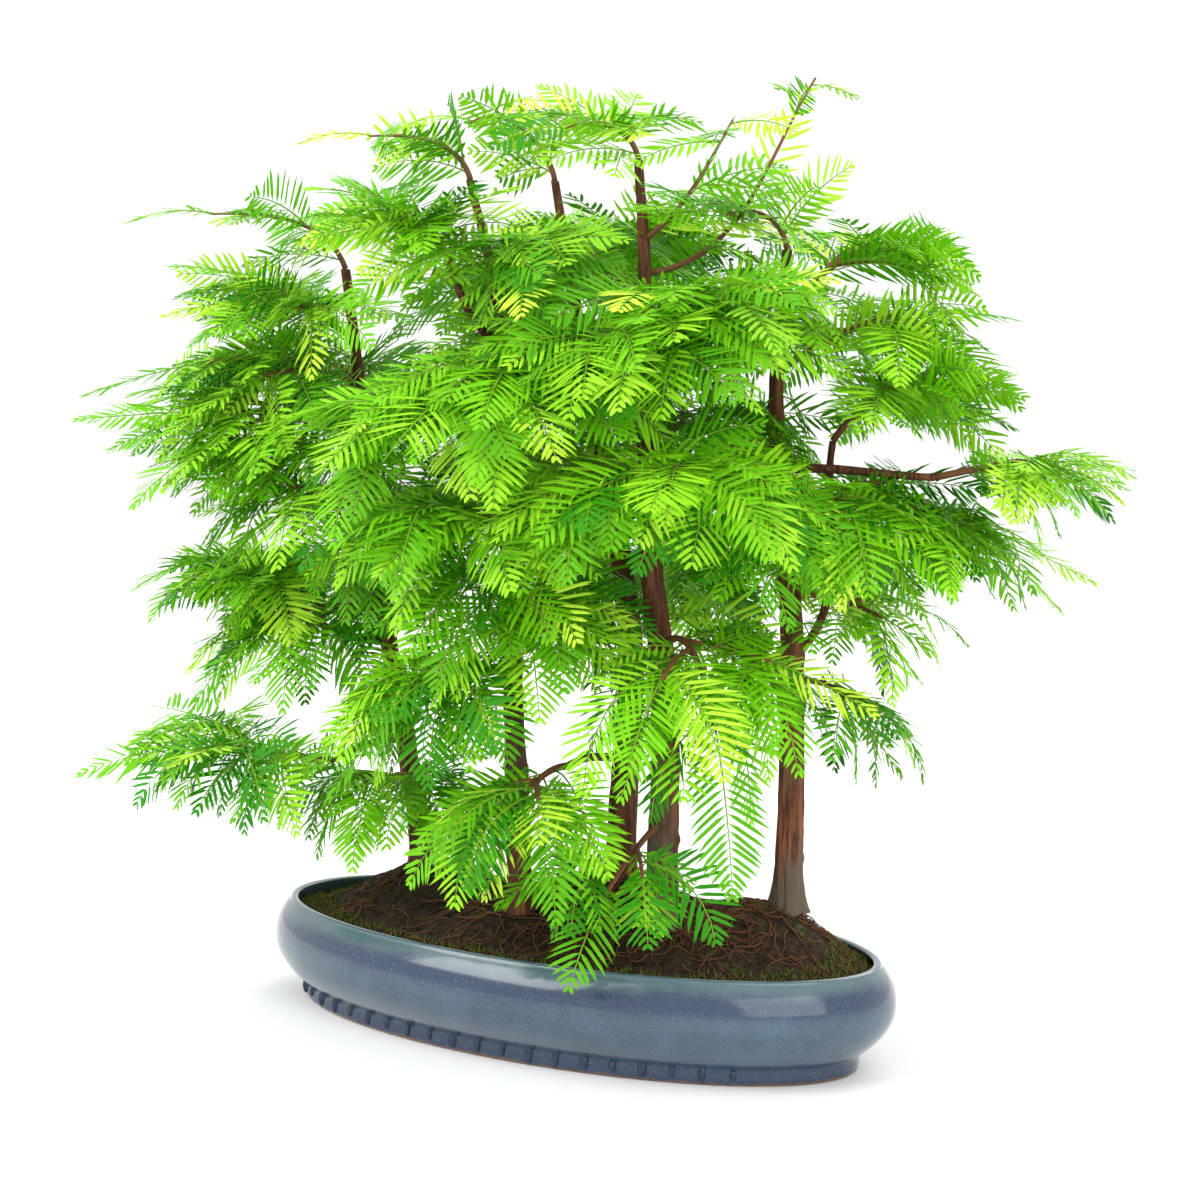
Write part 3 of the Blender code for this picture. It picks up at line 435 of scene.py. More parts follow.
class BarkSettings(bpy.types.PropertyGroup):
    """The trunks and boughs."""

    red: colour_property("Red bark", "Peeling bark, the main colour", (0.235, 0.085, 0.042))
    dark: colour_property("Dark bark", "Bark in the cracks", (0.055, 0.022, 0.014))
    grey: colour_property("Grey bark", "Weathered patches low on a trunk", (0.13, 0.10, 0.07))
    relief: FloatProperty(
        name="Relief", description="How far the strips of bark stand up", default=0.00055, min=0.0,
        unit="LENGTH")
    sides: IntProperty(name="Sides", description="Points round a trunk", default=96, min=8)


class FoliageSettings(bpy.types.PropertyGroup):
    """How the sprays of needles grow."""

    fullness: FloatProperty(
        name="Fullness", description="Side sprays for each one of the solid model", default=1.6, min=0.5)
    needle_spacing: FloatProperty(
        name="Needle spacing", description="Distance between pairs of needles", default=0.0034, min=0.002,
        unit="LENGTH")
    needle_width: FloatProperty(
        name="Needle width", description="Width of a needle", default=0.0017, min=0.0005, unit="LENGTH")
    # Deep green is painted shade: the darker colour given to sprays that lie in shade deep in the crown.
    deep: colour_property("Deep green", "The darkest sprays", (0.030, 0.24, 0.002))
    leaf: colour_property("Leaf green", "Most of the sprays", (0.19, 0.58, 0.003))
    # Pale lime is partly the paler colour of new growth and partly a painted highlight for the most lit
    # sprays.
    pale: colour_property("Pale lime", "The newest tips", (0.60, 0.90, 0.06))
    rib: colour_property("Rib", "The green rib of a spray", (0.19, 0.36, 0.02))


class StageSettings(bpy.types.PropertyGroup):
    """The camera, the floor and the light."""

    azimuth: FloatProperty(
        name="Azimuth", description="Camera's turn about the pot", default=0.5, subtype="ANGLE")
    elevation: FloatProperty(
        name="Elevation", description="Camera's height above level", default=0.103, subtype="ANGLE")
    roll: FloatProperty(name="Roll", description="Camera's tilt", default=0.03, subtype="ANGLE")
    distance: FloatProperty(
        name="Distance", description="Camera's distance", default=1.1, min=0.2, unit="LENGTH")
    lens: FloatProperty(name="Lens", description="Focal length in millimetres", default=75.8, min=20.0)
    floor: colour_property("Floor", "The pale floor", (0.93, 0.93, 0.92))


SETTINGS = {
    "forest_pot": PotSettings,
    "forest_soil": SoilSettings,
    "forest_bark": BarkSettings,
    "forest_foliage": FoliageSettings,
    "forest_stage": StageSettings,
}


def heading(angle, rise=0.0):
    """The unit direction with this heading, rising this steeply."""
    turn = math.radians(angle)
    lift = math.radians(rise)
    level = math.cos(lift)
    return Vector((level * math.cos(turn), level * math.sin(turn), math.sin(lift)))


def smooth_curve(points, steps):
    """Points along one smooth curve through the given ones."""
    ends = [2 * points[0] - points[1]] + points + [2 * points[-1] - points[-2]]
    curve = []
    for index in range(len(points) - 1):
        before, start, stop, after = ends[index:index + 4]
        for step in range(steps):
            t = step / steps
            curve.append(0.5 * (
                2 * start + (stop - before) * t
                + (2 * before - 5 * start + 4 * stop - after) * t ** 2
                + (3 * start - before - 3 * stop + after) * t ** 3))
    curve.append(points[-1].copy())
    return curve


def bent_line(start, stop, leave, end, steps):
    """A curve from start to stop that sets off along leave and arrives along end."""
    reach = (stop - start).length * BEND_REACH
    first = start + leave * reach
    second = stop - end * reach
    curve = []
    for step in range(steps + 1):
        t = step / steps
        s = 1 - t
        curve.append(s ** 3 * start + 3 * s * s * t * first + 3 * s * t * t * second + t ** 3 * stop)
    return curve


def tangent(curve, index):
    """The direction of a curve at one of its points."""
    return (curve[min(index + 1, len(curve) - 1)] - curve[max(index - 1, 0)]).normalized()


def point_along(curve, share):
    """The point and direction at a share of the way along a curve of even steps."""
    place = min(max(share, 0.0), 1.0) * (len(curve) - 1)
    index = min(int(place), len(curve) - 2)
    return curve[index].lerp(curve[index + 1], place - index), (curve[index + 1] - curve[index]).normalized()


def steps_along(curve):
    """How far along a curve each of its points lies."""
    steps = [0.0]
    for before, after in zip(curve, curve[1:]):
        steps.append(steps[-1] + (after - before).length)
    return steps


def curve_length(curve):
    return steps_along(curve)[-1]


def drooping_line(root, direction, length, droop):
    """A spray's rib: it sets off along a direction and bends down on its way."""
    level = Vector((direction.x, direction.y, 0.0))
    rise = math.degrees(math.atan2(direction.z, level.length))
    angle = math.degrees(math.atan2(direction.y, direction.x))
    curve = [root.copy()]
    for step in range(SPRAY_STEPS):
        bend = max(STEEPEST_BEND, rise - droop * (step + 0.5) / SPRAY_STEPS)
        curve.append(curve[-1] + heading(angle, bend) * length / SPRAY_STEPS)
    return curve


def new_mesh_object(name, points, faces, materials, tints=None, smooth=False):
    """A mesh object at the origin from points in millimetres and faces of one size."""
    points = np.asarray(points, dtype=np.float64) * MM
    faces = np.asarray(faces, dtype=np.int32)
    count, corners = faces.shape
    mesh = bpy.data.meshes.new(name)
    mesh.vertices.add(len(points))
    mesh.vertices.foreach_set("co", points.astype(np.float32).ravel())
    mesh.loops.add(count * corners)
    mesh.loops.foreach_set("vertex_index", faces.ravel())
    mesh.polygons.add(count)
    mesh.polygons.foreach_set("loop_start", np.arange(0, count * corners, corners, dtype=np.int32))
    for material in materials:
        mesh.materials.append(material)
    if tints is not None:
        mesh.polygons.foreach_set("material_index", np.asarray(tints, dtype=np.int32))
    mesh.polygons.foreach_set("use_smooth", np.full(count, smooth))
    mesh.update(calc_edges=True)
    shape = bpy.data.objects.new(name, mesh)
    bpy.context.scene.collection.objects.link(shape)
    return shape


def ring_triangles(rings, sides):
    """Triangles between rings of the same number of points, with a fan at each end's centre point.

    The first centre point comes after the last ring, and the second after it."""
    ring = np.arange(rings - 1)[:, None] * sides
    side = np.arange(sides)[None, :]
    after = (side + 1) % sides
    low, low_next = ring + side, ring + after
    high, high_next = low + sides, low_next + sides
    walls = np.stack([low, low_next, high_next, low, high_next, high], axis=-1).reshape(-1, 3)
    first, last = rings * sides, rings * sides + 1
    side, after = side.ravel(), after.ravel()
    bottom = np.stack([np.full(sides, first), after, side], axis=-1)
    top = np.stack([np.full(sides, last), side + (rings - 1) * sides, after + (rings - 1) * sides], axis=-1)
    return np.concatenate([walls, bottom, top])


def tube(curve, radii, sides):
    """A closed tapering limb along a curve."""
    points = []
    side = None
    for index, centre in enumerate(curve):
        along = tangent(curve, index)
        if side is None:
            side = along.orthogonal().normalized()
        side = (side - along * side.dot(along)).normalized()
        across = along.cross(side)
        for number in range(sides):
            turn = 2 * math.pi * number / sides
            points.append(centre + radii[index] * (math.cos(turn) * side + math.sin(turn) * across))
    points += [curve[0], curve[-1]]
    return np.array(points), ring_triangles(len(curve), sides)


def join_shapes(shapes):
    """Points and triangles of several shapes as one."""
    points = []
    faces = []
    start = 0
    for shape_points, shape_faces in shapes:
        points.append(shape_points)
        faces.append(shape_faces + start)
        start += len(shape_points)
    return np.concatenate(points), np.concatenate(faces)


def finish_piece(shape, slot_name, *nodes):
    """Let a piece ride on the pot's body, and stand for the solids that it replaces."""
    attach(shape, BODY)
    if nodes:
        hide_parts(*nodes)
    return shape


def settle(shape):
    """Turn an object with modifiers, or a curve, into one plain mesh object of the same name."""
    bpy.context.view_layer.update()
    graph = bpy.context.evaluated_depsgraph_get()
    mesh = bpy.data.meshes.new_from_object(shape.evaluated_get(graph), depsgraph=graph)
    name = shape.name
    bpy.data.objects.remove(shape)
    mesh.name = name
    plain = bpy.data.objects.new(name, mesh)
    bpy.context.scene.collection.objects.link(plain)
    return plain


def mottle_group():
    """One shader group for every uneven colour: noise between two colours, and its height."""
    found = bpy.data.node_groups.get("mottle")
    if found:
        return found
    group = bpy.data.node_groups.new("mottle", "ShaderNodeTree")
    sockets = group.interface
    sockets.new_socket("Vector", in_out="INPUT", socket_type="NodeSocketVector")
    for name, value in (("Scale", 100.0), ("Contrast", 2.0)):
        sockets.new_socket(name, in_out="INPUT", socket_type="NodeSocketFloat").default_value = value
    for name in ("Dark", "Light"):
        sockets.new_socket(name, in_out="INPUT", socket_type="NodeSocketColor")
    sockets.new_socket("Colour", in_out="OUTPUT", socket_type="NodeSocketColor")
    sockets.new_socket("Height", in_out="OUTPUT", socket_type="NodeSocketFloat")
    nodes, links = group.nodes, group.links
    start = nodes.new("NodeGroupInput")
    stop = nodes.new("NodeGroupOutput")
    grain = nodes.new("ShaderNodeTexNoise")
    grain.inputs["Detail"].default_value = 6.0
    grain.inputs["Roughness"].default_value = 0.62
    centred = nodes.new("ShaderNodeMath")
    centred.operation = "SUBTRACT"
    centred.inputs[1].default_value = 0.5
    stretched = nodes.new("ShaderNodeMath")
    stretched.operation = "MULTIPLY_ADD"
    stretched.use_clamp = True
    stretched.inputs[2].default_value = 0.5
    blend = nodes.new("ShaderNodeMix")
    blend.data_type = "RGBA"
    links.new(start.outputs["Vector"], grain.inputs["Vector"])
    links.new(start.outputs["Scale"], grain.inputs["Scale"])
    links.new(grain.outputs["Fac"], centred.inputs[0])
    links.new(centred.outputs[0], stretched.inputs[0])
    links.new(start.outputs["Contrast"], stretched.inputs[1])
    links.new(stretched.outputs[0], blend.inputs["Factor"])
    links.new(start.outputs["Dark"], blend.inputs["A"])
    links.new(start.outputs["Light"], blend.inputs["B"])
    links.new(blend.outputs["Result"], stop.inputs["Colour"])
    links.new(grain.outputs["Fac"], stop.inputs["Height"])
    return group


class Finish:
    """A Principled material while its nodes are laid."""

    def __init__(self, name, roughness, specular=0.5):
        self.material = bpy.data.materials.new(name)
        self.material.use_nodes = True
        self.nodes = self.material.node_tree.nodes
        self.links = self.material.node_tree.links
        self.shader = self.nodes["Principled BSDF"]
        self.shader.inputs["Roughness"].default_value = roughness
        self.shader.inputs["Specular IOR Level"].default_value = specular
        self.place = self.nodes.new("ShaderNodeTexCoord").outputs["Object"]

    def stretched(self, scale):
        """Object coordinates stretched along each axis."""
        mapping = self.nodes.new("ShaderNodeMapping")
        mapping.inputs["Scale"].default_value = scale
        self.links.new(self.place, mapping.inputs["Vector"])
        return mapping.outputs["Vector"]

    def mottle(self, scale, dark, light, contrast=2.0, vector=None):
        """One patch of uneven colour. A colour may be a value or another node's output."""
        group = self.nodes.new("ShaderNodeGroup")
        group.node_tree = mottle_group()
        group.inputs["Scale"].default_value = scale
        group.inputs["Contrast"].default_value = contrast
        self.links.new(vector or self.place, group.inputs["Vector"])
        for socket, colour in (("Dark", dark), ("Light", light)):
            if isinstance(colour, bpy.types.NodeSocket):
                self.links.new(colour, group.inputs[socket])
            else:
                group.inputs[socket].default_value = (*colour, 1.0)
        return group.outputs["Colour"], group.outputs["Height"]

    def mask(self, scale, vector=None, contrast=1.0):
        """Uneven values from 0 to 1, for use as a mask or a height."""
        return self.mottle(scale, BLACK, WHITE, contrast, vector)[1]

    def mix(self, factor, first, second):
        """One colour over another, by a mask or a share."""
        blend = self.nodes.new("ShaderNodeMix")
        blend.data_type = "RGBA"
        for socket, value in (("Factor", factor), ("A", first), ("B", second)):
            if isinstance(value, bpy.types.NodeSocket):
                self.links.new(value, blend.inputs[socket])
            elif socket == "Factor":
                blend.inputs[socket].default_value = value
            else:
                blend.inputs[socket].default_value = (*value, 1.0)
        return blend.outputs["Result"]

    def between(self, value, low, high):
        """A mask that rises from 0 at low to 1 at high."""
        remap = self.nodes.new("ShaderNodeMapRange")
        remap.interpolation_type = "SMOOTHSTEP"
        remap.inputs["From Min"].default_value = low
        remap.inputs["From Max"].default_value = high
        self.links.new(value, remap.inputs["Value"])
        return remap.outputs["Result"]

    def height(self):
        """How high a point stands, in metres."""
        parts = self.nodes.new("ShaderNodeSeparateXYZ")
        self.links.new(self.place, parts.inputs["Vector"])
        return parts.outputs["Z"]

    def add(self, first, second, share):
        """first + second x share."""
        total = self.nodes.new("ShaderNodeMath")
        total.operation = "MULTIPLY_ADD"
        total.inputs[1].default_value = share
        self.links.new(second, total.inputs[0])
        self.links.new(first, total.inputs[2])
        return total.outputs[0]

    def done(self, colour, height=None, distance=0.0005, strength=0.5):
        self.links.new(colour, self.shader.inputs["Base Color"])
        if height is not None:
            bump = self.nodes.new("ShaderNodeBump")
            bump.inputs["Distance"].default_value = distance
            bump.inputs["Strength"].default_value = strength
            self.links.new(height, bump.inputs["Height"])
            self.links.new(bump.outputs["Normal"], self.shader.inputs["Normal"])
        return self.material


def glaze_material(settings):
    """Speckled blue glaze: bare clay at the foot, dark bands, a lighter belly and shoulder."""
    finish = Finish("blue_glaze", 0.16)
    finish.shader.inputs["Coat Weight"].default_value = 0.35
    finish.shader.inputs["Coat Roughness"].default_value = 0.06
    pale = tuple(min(1.0, part * 1.55 + 0.02) for part in settings.belly)
    deep = tuple(part * 0.66 for part in settings.belly)
    height = finish.height()
    flow = finish.mask(38.0, finish.stretched((1.0, 1.0, 0.5)), contrast=2.0)
    level = finish.add(height, flow, 0.010)
    belly, cloud = finish.mottle(55.0, deep, settings.belly, contrast=3.0)
    belly = finish.mix(finish.between(level, 0.0085, 0.019), settings.band, belly)
    upper = finish.mix(finish.between(level, 0.031, 0.040), belly, settings.band)
    rim = finish.mix(finish.between(level, 0.042, 0.048), upper, settings.shoulder)
    spotted = finish.mix(finish.between(finish.mask(1500.0), 0.56, 0.70), rim, pale)
    darkened = finish.mix(finish.between(finish.mask(620.0), 0.60, 0.72), spotted, deep)
    clay = finish.mottle(420.0, tuple(part * 0.5 for part in settings.clay), settings.clay, contrast=2.5)[0]
    foot = finish.add(height, flow, 0.0030)
    coloured = finish.mix(finish.between(foot, 0.0020, 0.0030), clay, darkened)
    return finish.done(coloured, cloud, distance=0.0006, strength=0.12)


def plain_material(name, colour, roughness, scale=900.0, contrast=2.0, spread=0.55, bump=0.0003):
    """A dull finish with uneven colour."""
    finish = Finish(name, roughness, 0.3)
    dark = tuple(part * spread for part in colour)
    mixed, height = finish.mottle(scale, dark, colour, contrast)
    return finish.done(mixed, height, bump, 0.6)


def soil_material(settings):
    """Dark damp earth with paler grit, and patches of green film."""
    finish = Finish("damp_soil", 0.92, 0.25)
    dark = tuple(part * 0.35 for part in settings.earth)
    light = tuple(part * 2.2 for part in settings.earth)
    earth, height = finish.mottle(260.0, dark, light, contrast=3.0)
    fine = finish.mask(1400.0)
    film = finish.between(finish.mask(45.0), 0.56, 0.68)
    green = finish.mix(film, earth, tuple(part * 0.55 for part in settings.moss))
    return finish.done(green, finish.add(height, fine, 0.5), distance=0.0012, strength=1.0)


def bark_material(settings, name="redwood_bark", scale=300.0):
    """Reddish bark in upright strips, darker in the cracks, with grey patches."""
    finish = Finish(name, 0.82, 0.25)
    strips = finish.stretched((1.0, 1.0, 0.13))
    light = tuple(min(1.0, part * 1.5) for part in settings.red)
    red, height = finish.mottle(scale, settings.dark, settings.red, 3.4, strips)
    fine, grain = finish.mottle(scale * 3.6, settings.red, light, 3.0, strips)
    coloured = finish.mix(finish.between(height, 0.50, 0.72), red, fine)
    patch = finish.mask(34.0, finish.stretched((1.0, 1.0, 0.5)))
    weathered = finish.nodes.new("ShaderNodeMath")
    weathered.operation = "MULTIPLY"
    low_down = finish.between(finish.height(), 0.20, 0.06)
    finish.links.new(low_down, weathered.inputs[0])
    finish.links.new(finish.between(patch, 0.50, 0.62), weathered.inputs[1])
    coloured = finish.mix(weathered.outputs[0], coloured, settings.grey)
    return finish.done(coloured, finish.add(height, grain, 0.4), distance=0.0009, strength=0.9)


def needle_materials(settings):
    """One plain finish for each tint, from the deepest sprays in painted shade to the newest tips, paler new
    growth with a painted highlight.
    """
    finishes = []
    for number, name in enumerate(SHADE_TO_LIGHT_TINTS):
        share = 2 * number / (len(SHADE_TO_LIGHT_TINTS) - 1)
        low, high = (settings.deep, settings.leaf) if share < 1 else (settings.leaf, settings.pale)
        colour = Vector(low).lerp(Vector(high), share % 1 if share < 2 else 1.0)
        finishes.append(plain_finish("needles_" + name, colour, 0.5, 0.18))
    return finishes


def plain_finish(name, colour, roughness, specular):
    """A finish of one colour, for shapes as small as a needle."""
    material = bpy.data.materials.new(name)
    material.use_nodes = True
    shader = material.node_tree.nodes["Principled BSDF"]
    shader.inputs["Base Color"].default_value = (*colour, 1.0)
    shader.inputs["Roughness"].default_value = roughness
    shader.inputs["Specular IOR Level"].default_value = specular
    return material


def belly_inset(height):
    """How far the pot's outer wall lies inside its widest outline at a height."""
    if height < BELLY_HEIGHT:
        low = (BELLY_HEIGHT - height) / (BELLY_HEIGHT - FOOT_HEIGHT)
        return (FOOT_INSET - BELLY_OVERHANG) * low ** 2
    return RIM_INSET * ((height - BELLY_HEIGHT) / (POT_HEIGHT - BELLY_HEIGHT)) ** LIP_CURVE


def inner_inset(height):
    """The same for the inner wall, which rounds into the floor."""
    low = max(0.0, BELLY_HEIGHT - height) / (BELLY_HEIGHT - POT_FLOOR)
    high = max(0.0, height - BELLY_HEIGHT) / (POT_HEIGHT - BELLY_HEIGHT)
    return WALL + FLOOR_INSET * low ** FLOOR_CURVE + (RIM_INSET + RIM_WIDTH - WALL) * high ** LIP_CURVE


def pot_profile():
    """The pot's wall as (inset, height) pairs, from the foot up the outside, over the rim and down inside."""
    points = PROFILE_POINTS
    foot = [(FOOT_INSET + FOOT_ROUND * (1 - math.sin(turn)), FOOT_ROUND * (1 - math.cos(turn)))
            for turn in np.linspace(0.0, math.pi / 2, points["foot"])]
    foot += [(FOOT_INSET - lean, height) for lean, height in FOOT_WALL]
    top = POT_HEIGHT - RIM_ROUND
    wall = [(belly_inset(height), height) for height in np.linspace(FOOT_HEIGHT, top, points["wall"])]
    outer = belly_inset(top)
    inner = inner_inset(top)
    middle = (outer + inner) / 2
    rim = [(middle - (middle - outer) * math.cos(turn), top + RIM_ROUND * math.sin(turn))
           for turn in np.linspace(0.0, math.pi, points["rim"])[1:-1]]
    inside = [(inner_inset(height), height) for height in np.linspace(top, POT_FLOOR, points["inside"])]
    return foot + wall + rim + inside


def pot_rings(profile, sides):
    """Points of the pot's oval rings."""
    turns = np.linspace(0.0, 2 * math.pi, sides, endpoint=False)
    rings = [np.stack([(POT_LENGTH / 2 - inset) * np.cos(turns), (POT_DEPTH / 2 - inset) * np.sin(turns),
                       np.full(sides, height)], axis=-1) for inset, height in profile]
    return np.array(rings)


def capped_shape(rings):
    """A closed shape from rings of points, with a centre point at each end."""
    count, sides, _ = rings.shape
    points = np.concatenate([rings.reshape(-1, 3), rings[0].mean(0)[None], rings[-1].mean(0)[None]])
    return points, ring_triangles(count, sides)


def soil_dome(x, y):
    """How far the soil rises above its edge apart from the mounds, and how near the edge a point is."""
    inset = inner_inset(SOIL_EDGE_HEIGHT)
    spread = min(1.0, (x / (POT_LENGTH / 2 - inset)) ** 2 + (y / (POT_DEPTH / 2 - inset)) ** 2)
    return SOIL_DOME * (1 - spread), spread


def soil_mounds():
    """The mound at each tree: its place and how far it stands above the dome."""
    mounds = []
    for tree in TREES.values():
        foot_x, foot_y, foot_z = tree["foot"]
        dome, spread = soil_dome(foot_x, foot_y)
        mounds.append((foot_x, foot_y, (foot_z - SOIL_EDGE_HEIGHT) / (1 - spread ** 3) - dome))
    return mounds


MOUNDS = soil_mounds()


def soil_height(x, y):
    """The surface of the soil: a low dome, lowest at the left rear, with a mound at each tree."""
    rise, spread = soil_dome(x, y)
    for foot_x, foot_y, mound in MOUNDS:
        away = (x - foot_x) ** 2 + (y - foot_y) ** 2
        rise += mound * math.exp(-away / (2 * MOUND_SPREAD ** 2))
    hollow = REAR_HOLLOW * spread * max(0.0, y / POT_DEPTH - x / POT_LENGTH)
    return SOIL_EDGE_HEIGHT + rise * (1 - spread ** 3) - hollow


def rough_soil_height(x, y):
    """The soil's surface with its lumps."""
    lumps = sum(noise.noise(Vector((x, y, layer)) * density) * height
                for density, layer, height in SOIL_LUMPS)
    return soil_height(x, y) + lumps


def trunk_curve(tree):
    """The trunk's centre line, in even steps."""
    x, y, _ = tree["foot"]
    foot = Vector((x, y, soil_height(x, y) - WELL_DEPTH))
    return smooth_curve([foot] + [Vector(point) for point in tree["path"]], TRUNK_STEPS)


def trunk_line(tree):
    """Heights, centres and radii up a trunk, as arrays that are looked up by height."""
    dense = trunk_curve(tree)
    steps = np.array(steps_along(dense))
    radii = tree["radius"] + (tree["tip_radius"] - tree["radius"]) * (steps / steps[-1]) ** TRUNK_TAPER
    radii += tree["flare"] * np.exp(-steps / FLARE_REACH)
    return np.array([point.z for point in dense]), np.array(dense), radii


TRUNK_LINES = {name: trunk_line(tree) for name, tree in TREES.items()}


def trunk_at(name, height):
    """A trunk's centre and radius at a height."""
    heights, centres, radii = TRUNK_LINES[name]
    x = np.interp(height, heights, centres[:, 0])
    y = np.interp(height, heights, centres[:, 1])
    return Vector((x, y, height)), float(np.interp(height, heights, radii))


def is_blocked(point):
    """Whether a point lies in a trunk, the soil, the pot or too near the floor."""
    if point.z < LOWEST_TIP:
        return True
    for name, (heights, _, _) in TRUNK_LINES.items():
        if point.z < heights[-1]:
            centre, radius = trunk_at(name, point.z)
            if (point - centre).length < radius + CLEAR_OF_BARK:
                return True
    half_length = POT_LENGTH / 2 + CLEAR_OF_POT
    half_depth = POT_DEPTH / 2 + CLEAR_OF_POT
    if (point.x / half_length) ** 2 + (point.y / half_depth) ** 2 >= 1:
        return False
    return point.z < max(POT_HEIGHT + CLEAR_OF_POT, soil_height(point.x, point.y) + CLEAR_OF_SOIL)


def limb_start(name, height, angle):
    """A limb's first point, just inside the bark on the side it leaves."""
    centre, radius = trunk_at(name, height)
    return centre + heading(angle) * (radius - LIMB_SEAT)


def limb_tip(name, height, angle, reach, tip_height):
    """A limb's last point, at a reach from the trunk's centre line."""
    tip = trunk_at(name, height)[0] + heading(angle) * reach
    tip.z = tip_height
    return tip


def bough_curve(row):
    """The centre line of a bough."""
    tree, height, angle, reach, tip_height, _, _, leave, end = row
    start = limb_start(tree, height, angle)
    tip = limb_tip(tree, height, angle, reach, tip_height)
    return bent_line(start, tip, heading(angle, leave), heading(angle, end), BOUGH_STEPS)


class Spray:
    """One spray of needles: its rib, the side its face looks to, its size, tint and bare stalk."""

    def __init__(self, rib, face_up, half_width, tint, bare=RIB_BARE, spacing=1.0):
        self.rib = rib
        self.face_up = face_up
        self.half_width = half_width
        self.tint = tint
        self.bare = bare
        self.spacing = spacing


class Mass:
    """One mass of foliage: a stem that ends in a spray, with side shoots, and sprays along them all."""

    def __init__(self, name, row, number, fullness):
        self.name = name
        self.tree = name[:6]
        self.host, self.height, self.angle, reach, tip_height, self.leave, self.end = row[:7]
        self.side_count, self.spray_length, self.half_width = row[7:]
        self.fullness = fullness
        self.random = random.Random(SEED + number)
        self.is_leader = self.leave >= LEADER_LEAVE or self.end >= LEADER_END
        if self.host in BOUGHS:
            tree, self.height = BOUGHS[self.host][:2]
            self.tip = limb_tip(tree, self.height, self.angle, reach, tip_height)
            self.start = bough_curve(BOUGHS[self.host])[-1]
            toward = self.tip - self.start
            self.angle = math.degrees(math.atan2(toward.y, toward.x))
        else:
            self.tip = limb_tip(self.host, self.height, self.angle, reach, tip_height)
            if self.height >= TREES[self.host]["path"][-1][2]:
                self.start = Vector(TREES[self.host]["path"][-1])
            else:
                self.start = limb_start(self.host, self.height, self.angle)
        self.sprays = []
        self.twigs = []
        self.ribs = []
        axis = self.stem_axis()
        if self.is_leader:
            self.grow_leader(axis)
            return
        self.grow_shoot(axis, round(self.side_count * fullness), TWIG_ROOT_RADIUS)
        for side in (-1, 1):
            self.grow_side_shoot(axis, side)
        if self.host in TREES:
            self.grow_trunk_sprays()

    def draw(self, span):
        """A seeded draw between two values."""
        return self.random.uniform(*span)

    def tint(self, height):
        """The tint of a spray: lighter higher up, painted light as if upper sprays caught more light and
        lower ones lay in shade.
        """
        pick = self.random.gauss(TINT_MEAN + (height - TINT_HEIGHT) / TINT_RISE, TINT_SPREAD)
        return int(min(max(round(pick), 0), len(SHADE_TO_LIGHT_TINTS) - 1))

    def stem_axis(self):
        """The stem's curve, swayed until it is clear of the trunks."""
        for attempt in range(STEM_TRIES):
            spread = min(STEM_SWAY * attempt, MOST_STEM_SWAY)
            sway = self.random.uniform(-spread, spread)
            lift = self.random.uniform(-spread, spread)
            leave = heading(self.angle + sway, self.leave + lift)
            end = heading(self.angle - sway, self.end - lift)
            axis = bent_line(self.start, self.tip, leave, end, AXIS_STEPS)
            clear = [point for point in axis if (point - self.start).length > STEM_CLEAR_AFTER]
            if not any(is_blocked(point) for point in clear):
                break
        return axis

    def add_twig(self, axis, root_radius, tip_radius, stop=None):
        """A woody stem along a curve, as far as one of its points."""
        last = len(axis) - 1
        radii = [root_radius + (tip_radius - root_radius) * step / last for step in range(len(axis))]
        self.twigs.append((axis[:stop], radii[:stop], TWIG_SIDES))

    def add_spray(self, rib, face_up, half_width, bare=RIB_BARE):
        """A spray of needles with its green rib."""
        middle = rib[len(rib) // 2]
        self.sprays.append(Spray(rib, face_up, half_width, self.tint(middle.z), bare))
        radii = [RIB_RADIUS + (RIB_TIP_RADIUS - RIB_RADIUS) * step / SPRAY_STEPS
                 for step in range(SPRAY_STEPS + 1)]
        self.ribs.append((rib, radii, RIB_SIDES))

    def face_of(self, root, along):
        """The side a spray turns up: to the sky and out of the crown, square to its rib."""
        outward = Vector((root.x / CROWN_LENGTH ** 2, root.y / CROWN_DEPTH ** 2, 0.0)).normalized()
        light = UP + outward * self.draw(SIDE_LIGHT)
        face = light - along * light.dot(along)
        if face.length < LEAST_FACE:
            face = outward - along * outward.dot(along) + UP * 0.01
        face.normalize()
        face.rotate(Matrix.Rotation(math.radians(self.random.uniform(-ROLL, ROLL)), 3, along))
        return face

    def grow_shoot(self, axis, count, root_radius):
        """A shoot: its twig, the spray at its end, and side sprays to alternate sides."""
        length = curve_length(axis)
        stem_share = 1 - min(self.spray_length, length * END_SPRAY_SHARE) / length
        self.add_twig(axis, root_radius, TWIG_TIP_RADIUS, int(stem_share * (len(axis) - 1)) + 2)
        rib = [point_along(axis, stem_share + (1 - stem_share) * step / SPRAY_STEPS)[0]
               for step in range(SPRAY_STEPS + 1)]
        self.add_spray(rib, self.face_of(rib[0], tangent(rib, 0)), self.half_width, 0.0)
        for number in range(count):
            share = MIN_SPRAY_SHARE + (stem_share - MIN_SPRAY_SHARE) * (number + 0.5) / count
            self.grow_side(axis, share, number)

    def grow_side_shoot(self, axis, side):
        """A smaller shoot that forks from the stem and carries sprays of its own."""
        root, along = point_along(axis, self.draw(SHOOT_ROOTS))
        angle = math.degrees(math.atan2(along.y, along.x))
        length = curve_length(axis) * self.draw(SHOOT_LENGTHS)
        for _ in range(SHOOT_TRIES):
            turn = side * self.draw(SHOOT_TURNS)
            rise = math.degrees(math.asin(along.z)) * SHOOT_FOLLOWS + self.draw(SHOOT_RISES)
            curve = drooping_line(root, heading(angle + turn, rise), length, self.draw(SHOOT_DROOPS))
            smooth = smooth_curve(curve, SHOOT_STEPS)
            if not any(is_blocked(point) for point in smooth[SHOOT_STEPS:]):
                count = round(self.side_count * self.fullness * SHOOT_FULLNESS)
                self.grow_shoot(smooth, count, TWIG_ROOT_RADIUS * SHOOT_THICKNESS)
                return

